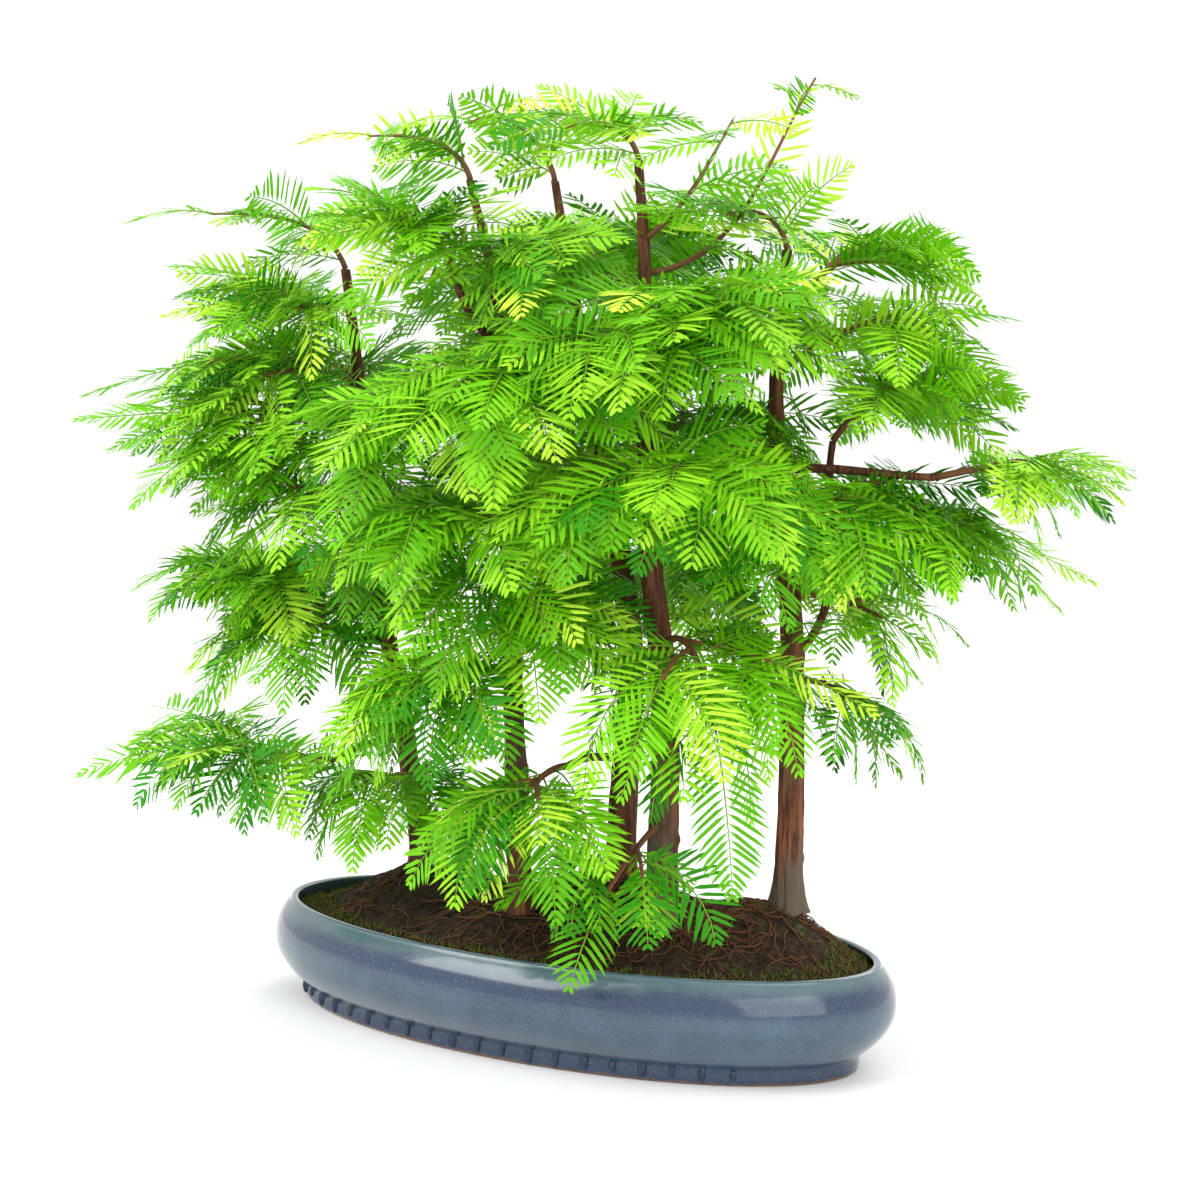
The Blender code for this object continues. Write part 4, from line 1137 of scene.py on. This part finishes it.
    def grow_trunk_sprays(self):
        """Sprays that leave the trunk itself, round the place where the stem does."""
        if self.height < TRUNK_SPRAYS_FROM:
            return
        for number in range(TRUNK_SPRAYS):
            height = self.height + self.draw(TRUNK_SPRAY_SPREAD)
            height = min(height, TREES[self.host]["path"][-1][2] - BELOW_TRUNK_TIP)
            angle = GOLDEN_ANGLE * number + self.random.uniform(0.0, 360.0)
            root = limb_start(self.host, height, angle)
            direction = heading(angle, self.draw(TRUNK_SPRAY_RISES))
            length = self.spray_length * self.draw(TRUNK_SPRAY_LENGTHS)
            rib = drooping_line(root, direction, length, spray_droop(height) + TRUNK_SPRAY_DROOP)
            if not any(is_blocked(point) for point in rib[2:]):
                self.add_spray(rib, self.face_of(root, direction), self.half_width * TRUNK_SPRAY_WIDTH,
                               TRUNK_SPRAY_BARE)

    def grow_leader(self, axis):
        """An upright shoot: needles in sparse pairs along its thin stem, side sprays and a tuft."""
        self.add_twig(axis, LEADER_RADIUS, RIB_RADIUS)
        self.sprays.append(Spray(axis, self.face_of(axis[0], tangent(axis, 0)), LEADER_NEEDLE,
                                 self.tint(self.tip.z), LEADER_BARE, LEADER_SPACING))
        for number in range(self.side_count):
            self.grow_side(axis, LEADER_SIDES_FROM + LEADER_SIDES_SPAN * number / self.side_count, number)
        for number, turn in enumerate(TUFT_TURNS):
            root = point_along(axis, TUFT_FROM - TUFT_STEP * number)[0]
            angle = self.angle + turn + self.draw(TUFT_SWAYS)
            length = self.spray_length * self.draw(TUFT_LENGTHS)
            rib = drooping_line(root, heading(angle, self.draw(TUFT_RISES)), length, TUFT_DROOP)
            self.add_spray(rib, self.face_of(root, tangent(rib, 0)), self.half_width * TUFT_WIDTH)

    def grow_side(self, axis, share, number):
        """One side spray, with up to two smaller ones on its first half."""
        root, along = point_along(axis, share)
        length = self.spray_length * self.draw(SIDE_LENGTHS)
        if self.is_leader:
            length *= LEADER_SIDE_LENGTH
        droop = spray_droop(root.z) + self.draw(SIDE_DROOPS)
        fork = self.draw(SIDE_FORKS)
        spin = GOLDEN_ANGLE * number + self.draw(SIDE_SPINS)
        for attempt in range(SPRAY_TRIES):
            wander = self.random.uniform(-1.0, 1.0) * SIDE_WANDER * attempt
            turn = math.radians(fork + wander)
            flip = 1 if (number + attempt // TRIES_EACH_SIDE) % 2 else -1
            if abs(along.z) > STEEP:
                side = heading(self.angle + spin + wander)
            else:
                side = flip * along.cross(UP).normalized()
            side = (side - along * side.dot(along)).normalized()
            lift = UP * self.draw(SIDE_LIFTS)
            direction = (along * math.cos(turn) + side * math.sin(turn) + lift).normalized()
            rib = drooping_line(root, direction, length * (1 - SIDE_SHRINK * attempt), droop + wander)
            if any(is_blocked(point) for point in rib[2:]):
                continue
            face_up = self.face_of(root, direction)
            self.add_spray(rib, face_up, self.half_width)
            self.grow_small(rib, face_up, length, droop)
            return

    def grow_small(self, rib, face_up, length, droop):
        """Smaller sprays that leave a side spray near its root, to alternate sides."""
        flip = self.random.choice((-1, 1))
        for place in SMALL_PLACES[:self.random.choice(SMALL_COUNTS)]:
            flip = -flip
            root, along = point_along(rib, place)
            side = flip * along.cross(face_up).normalized()
            turn = math.radians(self.draw(SMALL_FORKS))
            lift = UP * self.draw(SMALL_LIFTS)
            direction = (along * math.cos(turn) + side * math.sin(turn) + lift).normalized()
            reach = length * (SMALL_REACH - SMALL_REACH_LOSS * place) * self.draw(SMALL_LENGTHS)
            small = drooping_line(root, direction, reach, droop * SMALL_DROOP)
            if any(is_blocked(point) for point in small[2:]):
                continue
            up = face_up - direction * face_up.dot(direction)
            if up.length > LEAST_FACE:
                self.add_spray(small, up.normalized(), self.half_width * SMALL_WIDTH)


def spray_droop(height):
    """How far a side spray bends down, in degrees: little near the top and much low down."""
    share = min(max((height - LOW_CROWN) / (HIGH_CROWN - LOW_CROWN), 0.0), 1.0)
    return LOW_DROOP + (HIGH_DROOP - LOW_DROOP) * share


def spray_needles(spray, spacing, draw):
    """The needles of a spray as rows: base, direction, face, forward, length, bend and width share."""
    length = curve_length(spray.rib)
    pairs = max(FEWEST_PAIRS, round(length * (1 - spray.bare) / (spacing * spray.spacing)))
    rows = []
    up = spray.face_up
    for number in range(pairs + 1):
        share = number / pairs
        base, along = point_along(spray.rib, spray.bare + (NEEDLES_STOP - spray.bare) * share)
        up = (up - along * up.dot(along)).normalized()
        side = along.cross(up)
        swell = math.sin(math.pi * share ** NEEDLE_FULLEST)
        reach = spray.half_width * (NEEDLE_ROOT_REACH + NEEDLE_MIDDLE_REACH * swell)
        shrink = max(0.0, share - NEEDLES_SHRINK_FROM) / (1 - NEEDLES_SHRINK_FROM)
        reach *= 1 - NEEDLE_TIP_SHRINK * shrink
        lean = math.radians(NEEDLE_LEAN - NEEDLE_LEAN_LOSS * share ** 2 + draw.uniform(*NEEDLE_LEAN_DRAWS))
        for sign in (1, -1):
            tilt = up * draw.uniform(*NEEDLE_TILTS)
            direction = (along * math.cos(lean) + sign * side * math.sin(lean) + tilt).normalized()
            face = (up - direction * up.dot(direction)).normalized()
            face.rotate(Matrix.Rotation(draw.gauss(0.0, NEEDLE_TWIST), 3, direction))
            start = base + along * draw.uniform(*NEEDLE_SHIFTS)
            rows.append((*start, *direction, *face, *along, reach * draw.uniform(*NEEDLE_LENGTH_DRAWS),
                         draw.uniform(*NEEDLE_BENDS), draw.uniform(*NEEDLE_WIDTH_DRAWS)))
    return rows


def needle_points(rows, width):
    """Every needle's points: its base, two cross-sections of four points and its tip."""
    rows = np.array(rows)
    base, direction, face, forward = rows[:, 0:3], rows[:, 3:6], rows[:, 6:9], rows[:, 9:12]
    length, bend, share = rows[:, 12:13], rows[:, 13:14], rows[:, 14:15]
    curl = (forward * NEEDLE_CURL - face * bend) * length
    across = np.cross(face, direction)
    across /= np.linalg.norm(across, axis=1)[:, None]
    half = width * 0.5 * share
    points = [base]
    for place, part in zip(NEEDLE_PLACES, NEEDLE_WIDTHS):
        centre = base + direction * length * place + curl * place ** 2
        points += [centre - across * half * part, centre + face * NEEDLE_THICKNESS / 2,
                   centre + across * half * part, centre - face * NEEDLE_THICKNESS / 2]
    points.append(base + direction * length + curl)
    return np.stack(points, axis=1)


def needle_triangles():
    """The triangles of one needle, facing out: its base is point 0 and its tip is point 9."""
    faces = []
    for corner in range(4):
        after = (corner + 1) % 4
        faces.append((0, 1 + corner, 1 + after))
        faces.append((1 + corner, 5 + corner, 5 + after))
        faces.append((1 + corner, 5 + after, 1 + after))
        faces.append((5 + corner, 9, 5 + after))
    return np.array(faces)


def inside_solid_reach(rows):
    """Which needles stay inside the solid model's box."""
    rows = np.array(rows)
    tips = rows[:, 0:3] + (rows[:, 3:6] + rows[:, 9:12] * NEEDLE_CURL) * rows[:, 12:13]
    low = np.array(CAD_LOW) / MM
    high = np.array(CAD_HIGH) / MM
    return np.all((tips > low) & (tips < high), axis=1)


def add_input(tree, name, kind, value):
    """A named input of a geometry tree."""
    socket = tree.interface.new_socket(name, in_out="INPUT", socket_type=kind)
    if value is not None:
        socket.default_value = value
    return socket.identifier


def new_geometry_tree(name):
    """An empty geometry tree, with its first and last node."""
    tree = bpy.data.node_groups.new(name, "GeometryNodeTree")
    tree.interface.new_socket("Geometry", in_out="INPUT", socket_type="NodeSocketGeometry")
    tree.interface.new_socket("Geometry", in_out="OUTPUT", socket_type="NodeSocketGeometry")
    return tree, tree.nodes.new("NodeGroupInput"), tree.nodes.new("NodeGroupOutput")


def add_node(tree, kind, values):
    """A node of a geometry tree, with the values of its plain inputs."""
    node = tree.nodes.new(kind)
    for name, value in values.items():
        node.inputs[name].default_value = value
    return node


def add_random_vector(tree, seed):
    """A node that draws a vector for each point."""
    node = add_node(tree, "FunctionNodeRandomValue", {"Seed": seed})
    node.data_type = "FLOAT_VECTOR"
    return node


def close_tree(tree, geometry, stop, material, smooth=False):
    """End a tree with real meshes, their shading and their material."""
    whole = tree.nodes.new("GeometryNodeRealizeInstances")
    tree.links.new(geometry, whole.inputs["Geometry"])
    if smooth:
        shaded = tree.nodes.new("GeometryNodeSetShadeSmooth")
        tree.links.new(whole.outputs["Geometry"], shaded.inputs["Geometry"])
        whole = shaded
    paint = add_node(tree, "GeometryNodeSetMaterial", {"Material": material})
    tree.links.new(whole.outputs["Geometry"], paint.inputs["Geometry"])
    tree.links.new(paint.outputs["Geometry"], stop.inputs["Geometry"])


def run_tree(shape, tree, values):
    """Run a tree on an object with these values of its inputs, and settle the result into a mesh."""
    modifier = shape.modifiers.new(tree.name, "NODES")
    modifier.node_group = tree
    for identifier, value in values.items():
        modifier[identifier] = value
    return settle(shape)


def scatter(surface, name, small_shape, density, sizes, lean, seed, material):
    """Scatter small shapes over a surface, so many to a square metre, and settle them into one mesh."""
    tree, start, stop = new_geometry_tree(name + "_scatter")
    values = {
        add_input(tree, "Density", "NodeSocketFloat", 1.0): density,
        add_input(tree, "Smallest", "NodeSocketVector", sizes[0]): sizes[0],
        add_input(tree, "Largest", "NodeSocketVector", sizes[1]): sizes[1],
    }
    links = tree.links
    spread = add_node(tree, "GeometryNodeDistributePointsOnFaces", {"Seed": seed})
    instance = tree.nodes.new("GeometryNodeInstanceOnPoints")
    shape = add_node(tree, *small_shape)
    size = add_random_vector(tree, seed + 1)
    spin = add_random_vector(tree, seed + 2)
    spin.inputs["Min"].default_value = (-lean, -lean, -math.pi)
    spin.inputs["Max"].default_value = (lean, lean, math.pi)
    links.new(start.outputs["Geometry"], spread.inputs["Mesh"])
    links.new(start.outputs["Density"], spread.inputs["Density"])
    links.new(start.outputs["Smallest"], size.inputs["Min"])
    links.new(start.outputs["Largest"], size.inputs["Max"])
    links.new(spread.outputs["Points"], instance.inputs["Points"])
    links.new(shape.outputs["Mesh"], instance.inputs["Instance"])
    links.new(spin.outputs["Value"], instance.inputs["Rotation"])
    links.new(size.outputs["Value"], instance.inputs["Scale"])
    close_tree(tree, instance.outputs["Instances"], stop, material)
    surface.name = name
    surface.data.name = name
    return run_tree(surface, tree, values)


def soil_patch(name, low_share, high_share, rings=16, sides=120):
    """An open strip of the soil's surface between two shares of its radius, and its area."""
    inset = inner_inset(SOIL_EDGE_HEIGHT)
    points = []
    for ring in range(rings + 1):
        share = low_share + (high_share - low_share) * ring / rings
        for number in range(sides):
            turn = 2 * math.pi * number / sides
            x = (POT_LENGTH / 2 - inset) * share * math.cos(turn)
            y = (POT_DEPTH / 2 - inset) * share * math.sin(turn)
            points.append((x, y, rough_soil_height(x, y)))
    faces = []
    for ring in range(rings):
        for number in range(sides):
            after = (number + 1) % sides
            low, high = ring * sides, (ring + 1) * sides
            faces.append((low + number, high + number, high + after, low + after))
    patch = new_mesh_object(name, points, faces, [])
    return patch, sum(face.area for face in patch.data.polygons)


def new_curve_object(name, lines, taper=0.0):
    """A curve object from lines of points in millimetres, each narrowed to its end by a share."""
    data = bpy.data.curves.new(name, "CURVE")
    data.dimensions = "3D"
    for points in lines:
        line = data.splines.new("POLY")
        line.points.add(len(points) - 1)
        for index, point in enumerate(points):
            line.points[index].co = (*(point * MM), 1.0)
            line.points[index].radius = 1.0 - taper * index / (len(points) - 1)
    shape = bpy.data.objects.new(name, data)
    bpy.context.scene.collection.objects.link(shape)
    return shape


def curves_to_tubes(name, strands, radius, sides, material):
    """Lay strands as curves and give them thickness with geometry nodes."""
    shape = new_curve_object(name, strands, ROOT_TAPER)
    tree, start, stop = new_geometry_tree(name + "_thickness")
    thickness = add_input(tree, "Radius", "NodeSocketFloat", radius)
    profile = add_node(tree, "GeometryNodeCurvePrimitiveCircle", {"Resolution": sides})
    sweep = add_node(tree, "GeometryNodeCurveToMesh", {"Fill Caps": True})
    tree.links.new(start.outputs["Radius"], profile.inputs["Radius"])
    tree.links.new(start.outputs["Geometry"], sweep.inputs["Curve"])
    tree.links.new(profile.outputs["Curve"], sweep.inputs["Profile Curve"])
    if "Scale" in sweep.inputs:
        narrowing = tree.nodes.new("GeometryNodeInputRadius")
        tree.links.new(narrowing.outputs["Radius"], sweep.inputs["Scale"])
    close_tree(tree, sweep.outputs["Mesh"], stop, material)
    return run_tree(shape, tree, {thickness: radius})


class FOREST_OT_pot(bpy.types.Operator):
    """Make the glazed pot"""

    bl_idname = "forest.make_pot"
    bl_label = "Make the Pot"

    def execute(self, context):
        settings = context.scene.forest_pot
        points, faces = capped_shape(pot_rings(pot_profile(), settings.sides))
        pot = new_mesh_object("glazed_pot", points, faces, [glaze_material(settings)], smooth=True)
        finish_piece(pot, "glaze", "pot")
        return {"FINISHED"}


class FOREST_OT_drips(bpy.types.Operator):
    """Hang drips of dark glaze along the foot with geometry nodes"""

    bl_idname = "forest.make_drips"
    bl_label = "Make the Glaze Drips"

    def execute(self, context):
        settings = context.scene.forest_pot
        half_length = POT_LENGTH / 2 - FOOT_INSET + DRIP_SINK
        half_depth = POT_DEPTH / 2 - FOOT_INSET + DRIP_SINK
        route = [Vector((half_length * math.cos(turn), half_depth * math.sin(turn), DRIP_HEIGHT))
                 for turn in np.radians(np.linspace(DRIPS_FROM, DRIPS_TO, DRIP_POINTS))]
        drips = new_curve_object("glaze_drips", [route])
        tree, start, stop = new_geometry_tree("drips_along_foot")
        spacing = add_input(tree, "Spacing", "NodeSocketFloat", settings.drip_spacing)
        along = tree.nodes.new("GeometryNodeCurveToPoints")
        along.mode = "LENGTH"
        bead = add_node(tree, "GeometryNodeMeshUVSphere", {"Segments": 14, "Rings": 10, "Radius": 1.0})
        instance = tree.nodes.new("GeometryNodeInstanceOnPoints")
        size = add_random_vector(tree, SEED)
        size.inputs["Min"].default_value, size.inputs["Max"].default_value = DRIP_SIZES
        tree.links.new(start.outputs["Geometry"], along.inputs["Curve"])
        tree.links.new(start.outputs["Spacing"], along.inputs["Length"])
        tree.links.new(along.outputs["Points"], instance.inputs["Points"])
        tree.links.new(bead.outputs["Mesh"], instance.inputs["Instance"])
        tree.links.new(size.outputs["Value"], instance.inputs["Scale"])
        close_tree(tree, instance.outputs["Instances"], stop, self.glaze(settings), smooth=True)
        finish_piece(run_tree(drips, tree, {spacing: settings.drip_spacing}), "glaze")
        return {"FINISHED"}

    def glaze(self, settings):
        """The glaze where it has run together, darker than on the wall."""
        finish = Finish("drip_glaze", 0.12)
        dark = tuple(part * 0.5 for part in settings.band)
        colour, height = finish.mottle(500.0, dark, settings.band, contrast=2.5)
        return finish.done(colour, height, distance=0.0002, strength=0.2)


class FOREST_OT_soil(bpy.types.Operator):
    """Make the lumpy mound of soil"""

    bl_idname = "forest.make_soil"
    bl_label = "Make the Soil"

    def execute(self, context):
        settings = context.scene.forest_soil
        rings = [pot_rings([(inner_inset(height) + SOIL_WALL_GAP, height)], SOIL_SIDES)[0]
                 for height in SOIL_WALL_HEIGHTS]
        edge = pot_rings([(inner_inset(SOIL_EDGE_HEIGHT) - SOIL_EDGE_SINK, 0.0)], SOIL_SIDES)[0]
        for share in 1 - np.arange(SOIL_RINGS) / SOIL_RINGS:
            rings.append(np.array([(x * share, y * share, rough_soil_height(x * share, y * share))
                                   for x, y, _ in edge]))
        points, faces = capped_shape(np.array(rings))
        soil = new_mesh_object("soil_mound", points, faces, [soil_material(settings)], smooth=True)
        finish_piece(soil, "soil", "soil")
        return {"FINISHED"}


class FOREST_OT_litter(bpy.types.Operator):
    """Scatter crumbs and moss over the soil, and lay fine roots on it"""

    bl_idname = "forest.make_litter"
    bl_label = "Make the Crumbs, Moss and Roots"

    def execute(self, context):
        settings = context.scene.forest_soil
        patch, area = soil_patch("crumb_bed", *CRUMB_BED)
        earth = plain_material("soil_crumbs", tuple(part * 1.9 for part in settings.earth), 0.95)
        grain = ("GeometryNodeMeshIcoSphere", {"Radius": 1.0, "Subdivisions": 1})
        crumbs = scatter(
            patch, "soil_crumbs", grain, settings.crumbs / area, CRUMB_SIZES, math.pi, SEED, earth)
        finish_piece(crumbs, "soil")
        patch, area = soil_patch("moss_bed", *MOSS_BED, rings=5)
        green = plain_material("moss", settings.moss, 0.9, spread=0.35)
        blade = ("GeometryNodeMeshCone", {"Vertices": 4, "Radius Bottom": 0.5, "Depth": 1.0})
        moss = scatter(
            patch, "moss_tufts", blade, settings.tufts / area, MOSS_SIZES, MOSS_LEAN, SEED + 10, green)
        finish_piece(moss, "soil")
        bark = plain_material("fine_roots", settings.root, 0.8, scale=1500.0, spread=0.4)
        roots = curves_to_tubes("fine_roots", self.strands(settings.roots), ROOT_THICKNESS, 5, bark)
        finish_piece(roots, "twig_bark")
        return {"FINISHED"}

    def strands(self, count):
        """Wandering lines over the soil, most of them near the trunks."""
        draw = random.Random(SEED)
        feet = [tree["foot"] for tree in TREES.values()]
        inset = inner_inset(SOIL_EDGE_HEIGHT) + ROOTS_OFF_WALL
        half_length = POT_LENGTH / 2 - inset
        half_depth = POT_DEPTH / 2 - inset
        strands = []
        for number in range(count):
            foot_x, foot_y, _ = feet[ROOT_TREES[number % len(ROOT_TREES)]]
            away = draw.uniform(*ROOT_REACHES)
            angle = draw.uniform(0.0, 360.0)
            place = Vector((foot_x, foot_y, 0.0)) + heading(angle) * away
            angle += draw.uniform(*ROOT_TURNS)
            strand = []
            lift = draw.uniform(*ROOT_LIFTS)
            steps = draw.randint(*ROOT_STEPS)
            for step in range(steps):
                if (place.x / half_length) ** 2 + (place.y / half_depth) ** 2 > 1:
                    break
                arch = lift * math.sin(math.pi * step / steps)
                height = rough_soil_height(place.x, place.y) + ROOT_SEAT + arch
                strand.append(Vector((place.x, place.y, height)))
                angle += draw.gauss(0.0, ROOT_BENDS)
                place = place + heading(angle) * draw.uniform(*ROOT_STRIDES)
            if len(strand) > SHORTEST_ROOT:
                strands.append(strand)
        return strands


class FOREST_OT_trunks(bpy.types.Operator):
    """Make the five trunks and the boughs with their relief of bark"""

    bl_idname = "forest.make_trunks"
    bl_label = "Make the Trunks and Boughs"

    def execute(self, context):
        settings = context.scene.forest_bark
        material = bark_material(settings)
        for number, (name, tree) in enumerate(TREES.items()):
            points, faces = capped_shape(self.trunk_rings(tree, number, settings))
            trunk = new_mesh_object(name + "_bark", points, faces, [material], smooth=True)
            finish_piece(trunk, "bark", name + "_trunk")
        bough_bark = bark_material(settings, "bough_bark", 700.0)
        for name, row in BOUGHS.items():
            draw = random.Random(name)
            root_radius, tip_radius = row[5:7]
            radii = [root_radius + (tip_radius - root_radius) * step / BOUGH_STEPS
                     for step in range(BOUGH_STEPS + 1)]
            radii = [radius * draw.uniform(*BOUGH_SWELL) for radius in radii]
            points, faces = tube(bough_curve(row), radii, BOUGH_SIDES)
            bough = new_mesh_object(name + "_bark", points, faces, [bough_bark], smooth=True)
            finish_piece(bough, "bark", name)
        return {"FINISHED"}

    def trunk_rings(self, tree, number, settings):
        """Rings up a trunk: taper, root lobes, upright strips, and a few scars of old twigs."""
        dense = trunk_curve(tree)
        steps = steps_along(dense)
        places = np.concatenate([
            np.linspace(0.0, FLARE_TOP, FLARE_RINGS, endpoint=False),
            np.linspace(FLARE_TOP, steps[-1], TRUNK_RINGS)])
        centres = np.stack(
            [np.interp(places, steps, [point[axis] for point in dense]) for axis in range(3)], -1)
        draw = random.Random(SEED + number)
        scars = [(draw.uniform(0.0, 2 * math.pi), draw.uniform(*SCAR_HEIGHTS), draw.uniform(*SCAR_RISES),
                  draw.uniform(*SCAR_SPREADS)) for _ in range(SCARS)]
        relief = settings.relief / MM
        rings = []
        for centre, place in zip(centres, places):
            taper = (place / steps[-1]) ** TRUNK_TAPER
            radius = tree["radius"] + (tree["tip_radius"] - tree["radius"]) * taper
            flare = math.exp(-place / FLARE_REACH)
            near = [scar for scar in scars if abs(place - scar[1]) < 3 * scar[3]]
            ring = []
            for turn in np.linspace(0.0, 2 * math.pi, settings.sides, endpoint=False):
                lobe = 1 + LOBE_DEPTH * flare * math.cos(ROOT_LOBES * turn + tree["foot"][0])
                reach = (radius + tree["flare"] * flare) * lobe
                reach += relief * self.strips(turn, place, number) * min(1.0, radius / 4.0)
                for scar_turn, scar_place, rise, spread in near:
                    apart = (turn - scar_turn + math.pi) % (2 * math.pi) - math.pi
                    away = ((apart * radius) ** 2 + (place - scar_place) ** 2) / (2 * spread ** 2)
                    reach += rise * math.exp(-away)
                x, y, z = centre
                ring.append((x + reach * math.cos(turn), y + reach * math.sin(turn), z))
            rings.append(ring)
        return np.array(rings)

    def strips(self, turn, place, number):
        """How far the bark stands out at a place on trunk number, in shares of its relief."""
        x, y = math.cos(turn), math.sin(turn)
        spot = Vector((x * 3.2, y * 3.2, place / 26.0 + 11.0 * number))
        strips = noise.noise(spot) + 0.55 * noise.noise(spot * 2.3)
        fine = noise.noise(Vector((x * 9.0, y * 9.0, place / 7.0)))
        swell = 0.5 * noise.noise(Vector((x, y, place / 18.0 + number)))
        return 1.1 * strips + 0.45 * fine + swell


class FOREST_OT_foliage(bpy.types.Operator):
    """Grow every mass of foliage by one seeded rule"""

    bl_idname = "forest.grow_foliage"
    bl_label = "Grow the Foliage"

    def execute(self, context):
        settings = context.scene.forest_foliage
        finishes = needle_materials(settings)
        wood = [plain_material("twig_bark", (0.27, 0.105, 0.048), 0.7, scale=1200.0, spread=0.45),
                plain_finish("green_rib", settings.rib, 0.6, 0.2)]
        masses = [Mass(name, row, number, settings.fullness)
                  for number, (name, row) in enumerate(MASSES.items())]
        for tree in TREES:
            own = [mass for mass in masses if mass.tree == tree]
            self.make_twigs(tree, own, wood)
            self.make_needles(tree, own, settings, finishes)
        return {"FINISHED"}

    def make_twigs(self, tree, masses, materials):
        """The woody twigs and the green ribs of a tree, in one piece."""
        stems = [tube(*twig) for mass in masses for twig in mass.twigs]
        ribs = [tube(*rib) for mass in masses for rib in mass.ribs]
        points, faces = join_shapes(stems + ribs)
        tints = np.repeat((0, 1), [sum(len(part[1]) for part in group) for group in (stems, ribs)])
        twigs = new_mesh_object(tree + "_twigs", points, faces, materials, tints, smooth=True)
        finish_piece(twigs, "twig_bark")

    def make_needles(self, tree, masses, settings, finishes):
        """The needles of a tree, in as many pieces as keep each one light."""
        spacing = settings.needle_spacing / MM
        batches = [[]]
        for mass in masses:
            draw = random.Random(mass.name)
            rows = []
            tints = []
            for spray in mass.sprays:
                new = spray_needles(spray, spacing, draw)
                rows += new
                tints += [spray.tint] * len(new)
            kept = inside_solid_reach(rows)
            rows = np.array(rows)[kept]
            tints = np.array(tints)[kept]
            count = sum(len(batch[1]) for batch in batches[-1])
            if (count + len(rows)) * NEEDLE_TRIANGLES > MOST_TRIANGLES:
                batches.append([])
            batches[-1].append((mass.name, rows, tints))
        single = needle_triangles()
        for number, batch in enumerate(batches):
            rows = np.concatenate([row for _, row, _ in batch])
            tints = np.concatenate([tint for _, _, tint in batch])
            points = needle_points(rows, settings.needle_width / MM)
            starts = np.arange(len(rows))[:, None, None] * points.shape[1]
            faces = (single[None] + starts).reshape(-1, 3)
            name = f"{tree}_needles_{number + 1}"
            needles = new_mesh_object(
                name, points.reshape(-1, 3), faces, finishes, np.repeat(tints, len(single)))
            finish_piece(needles, "needles", *[mass_name for mass_name, _, _ in batch])


class FOREST_OT_stage(bpy.types.Operator):
    """Set the camera, the pale floor and the soft light"""

    bl_idname = "forest.set_stage"
    bl_label = "Set the Stage"

    def execute(self, context):
        settings = context.scene.forest_stage
        self.add_camera(settings)
        self.add_floor(settings)
        for name, (place, size, power) in LIGHTS.items():
            self.add_light(name, place, size, power)
        world = bpy.data.worlds.new("studio")
        world.use_nodes = True
        background = world.node_tree.nodes["Background"]
        background.inputs["Color"].default_value = (*WHITE, 1.0)
        background.inputs["Strength"].default_value = SKY_STRENGTH
        bpy.context.scene.world = world
        bpy.context.scene.view_settings.view_transform = "Standard"
        return {"FINISHED"}

    def add_camera(self, settings):
        """The camera at the photograph's viewing angle."""
        turn, rise, roll = settings.azimuth, settings.elevation, settings.roll
        back = Vector((math.sin(turn) * math.cos(rise), -math.cos(turn) * math.cos(rise), math.sin(rise)))
        right = Vector((math.cos(turn), math.sin(turn), 0.0))
        upward = back.cross(right)
        tilted = right * math.cos(roll) + upward * math.sin(roll)
        above = back.cross(tilted)
        target = right * CAMERA_AIM_RIGHT + UP * CAMERA_AIM_HEIGHT
        data = bpy.data.cameras.new("camera")
        data.lens = settings.lens
        data.sensor_width = SENSOR_WIDTH
        camera = bpy.data.objects.new("camera", data)
        bpy.context.scene.collection.objects.link(camera)
        turned = Matrix((tilted, above, back)).transposed().to_4x4()
        camera.matrix_world = Matrix.Translation(target + back * settings.distance) @ turned
        bpy.context.scene.camera = camera

    def add_floor(self, settings):
        corners = ((-1, -1), (1, -1), (1, 1), (-1, 1))
        points = [(x * FLOOR_REACH, y * FLOOR_REACH, -FLOOR_DROP) for x, y in corners]
        material = plain_material("pale_floor", settings.floor, 0.9, scale=3.0, spread=0.985, bump=0.0)
        floor = new_mesh_object("floor", points, [(0, 1, 2, 3)], [material])

    def add_light(self, name, place, size, power):
        data = bpy.data.lights.new(name, "AREA")
        data.size = size
        data.energy = power
        light = bpy.data.objects.new(name, data)
        bpy.context.scene.collection.objects.link(light)
        light.location = place
        toward = Vector(LIGHTS_AIM) - Vector(place)
        light.rotation_euler = toward.to_track_quat("-Z", "Y").to_euler()


class FOREST_PT_panel(bpy.types.Panel):
    """The forest's sizes, colours and steps"""

    bl_label = "Bonsai Forest"
    bl_idname = "FOREST_PT_panel"
    bl_space_type = "VIEW_3D"
    bl_region_type = "UI"
    bl_category = "Bonsai Forest"

    def draw(self, context):
        for name, settings in SETTINGS.items():
            box = self.layout.box()
            group = getattr(context.scene, name)
            for key in settings.__annotations__:
                box.prop(group, key)
        for operator in OPERATORS:
            self.layout.operator(operator.bl_idname)


OPERATORS = (FOREST_OT_pot, FOREST_OT_drips, FOREST_OT_soil, FOREST_OT_litter, FOREST_OT_trunks,
             FOREST_OT_foliage, FOREST_OT_stage)


def register():
    for name, settings in SETTINGS.items():
        bpy.utils.register_class(settings)
        setattr(bpy.types.Scene, name, PointerProperty(type=settings))
    for operator in OPERATORS:
        bpy.utils.register_class(operator)
    bpy.utils.register_class(FOREST_PT_panel)


def unregister():
    bpy.utils.unregister_class(FOREST_PT_panel)
    for operator in reversed(OPERATORS):
        bpy.utils.unregister_class(operator)
    for name, settings in SETTINGS.items():
        delattr(bpy.types.Scene, name)
        bpy.utils.unregister_class(settings)


def main():
    register()
    bpy.ops.forest.make_pot()
    bpy.ops.forest.make_drips()
    bpy.ops.forest.make_soil()
    bpy.ops.forest.make_litter()
    bpy.ops.forest.make_trunks()
    bpy.ops.forest.grow_foliage()
    bpy.ops.forest.set_stage()


if __name__ == "__main__":
    main()
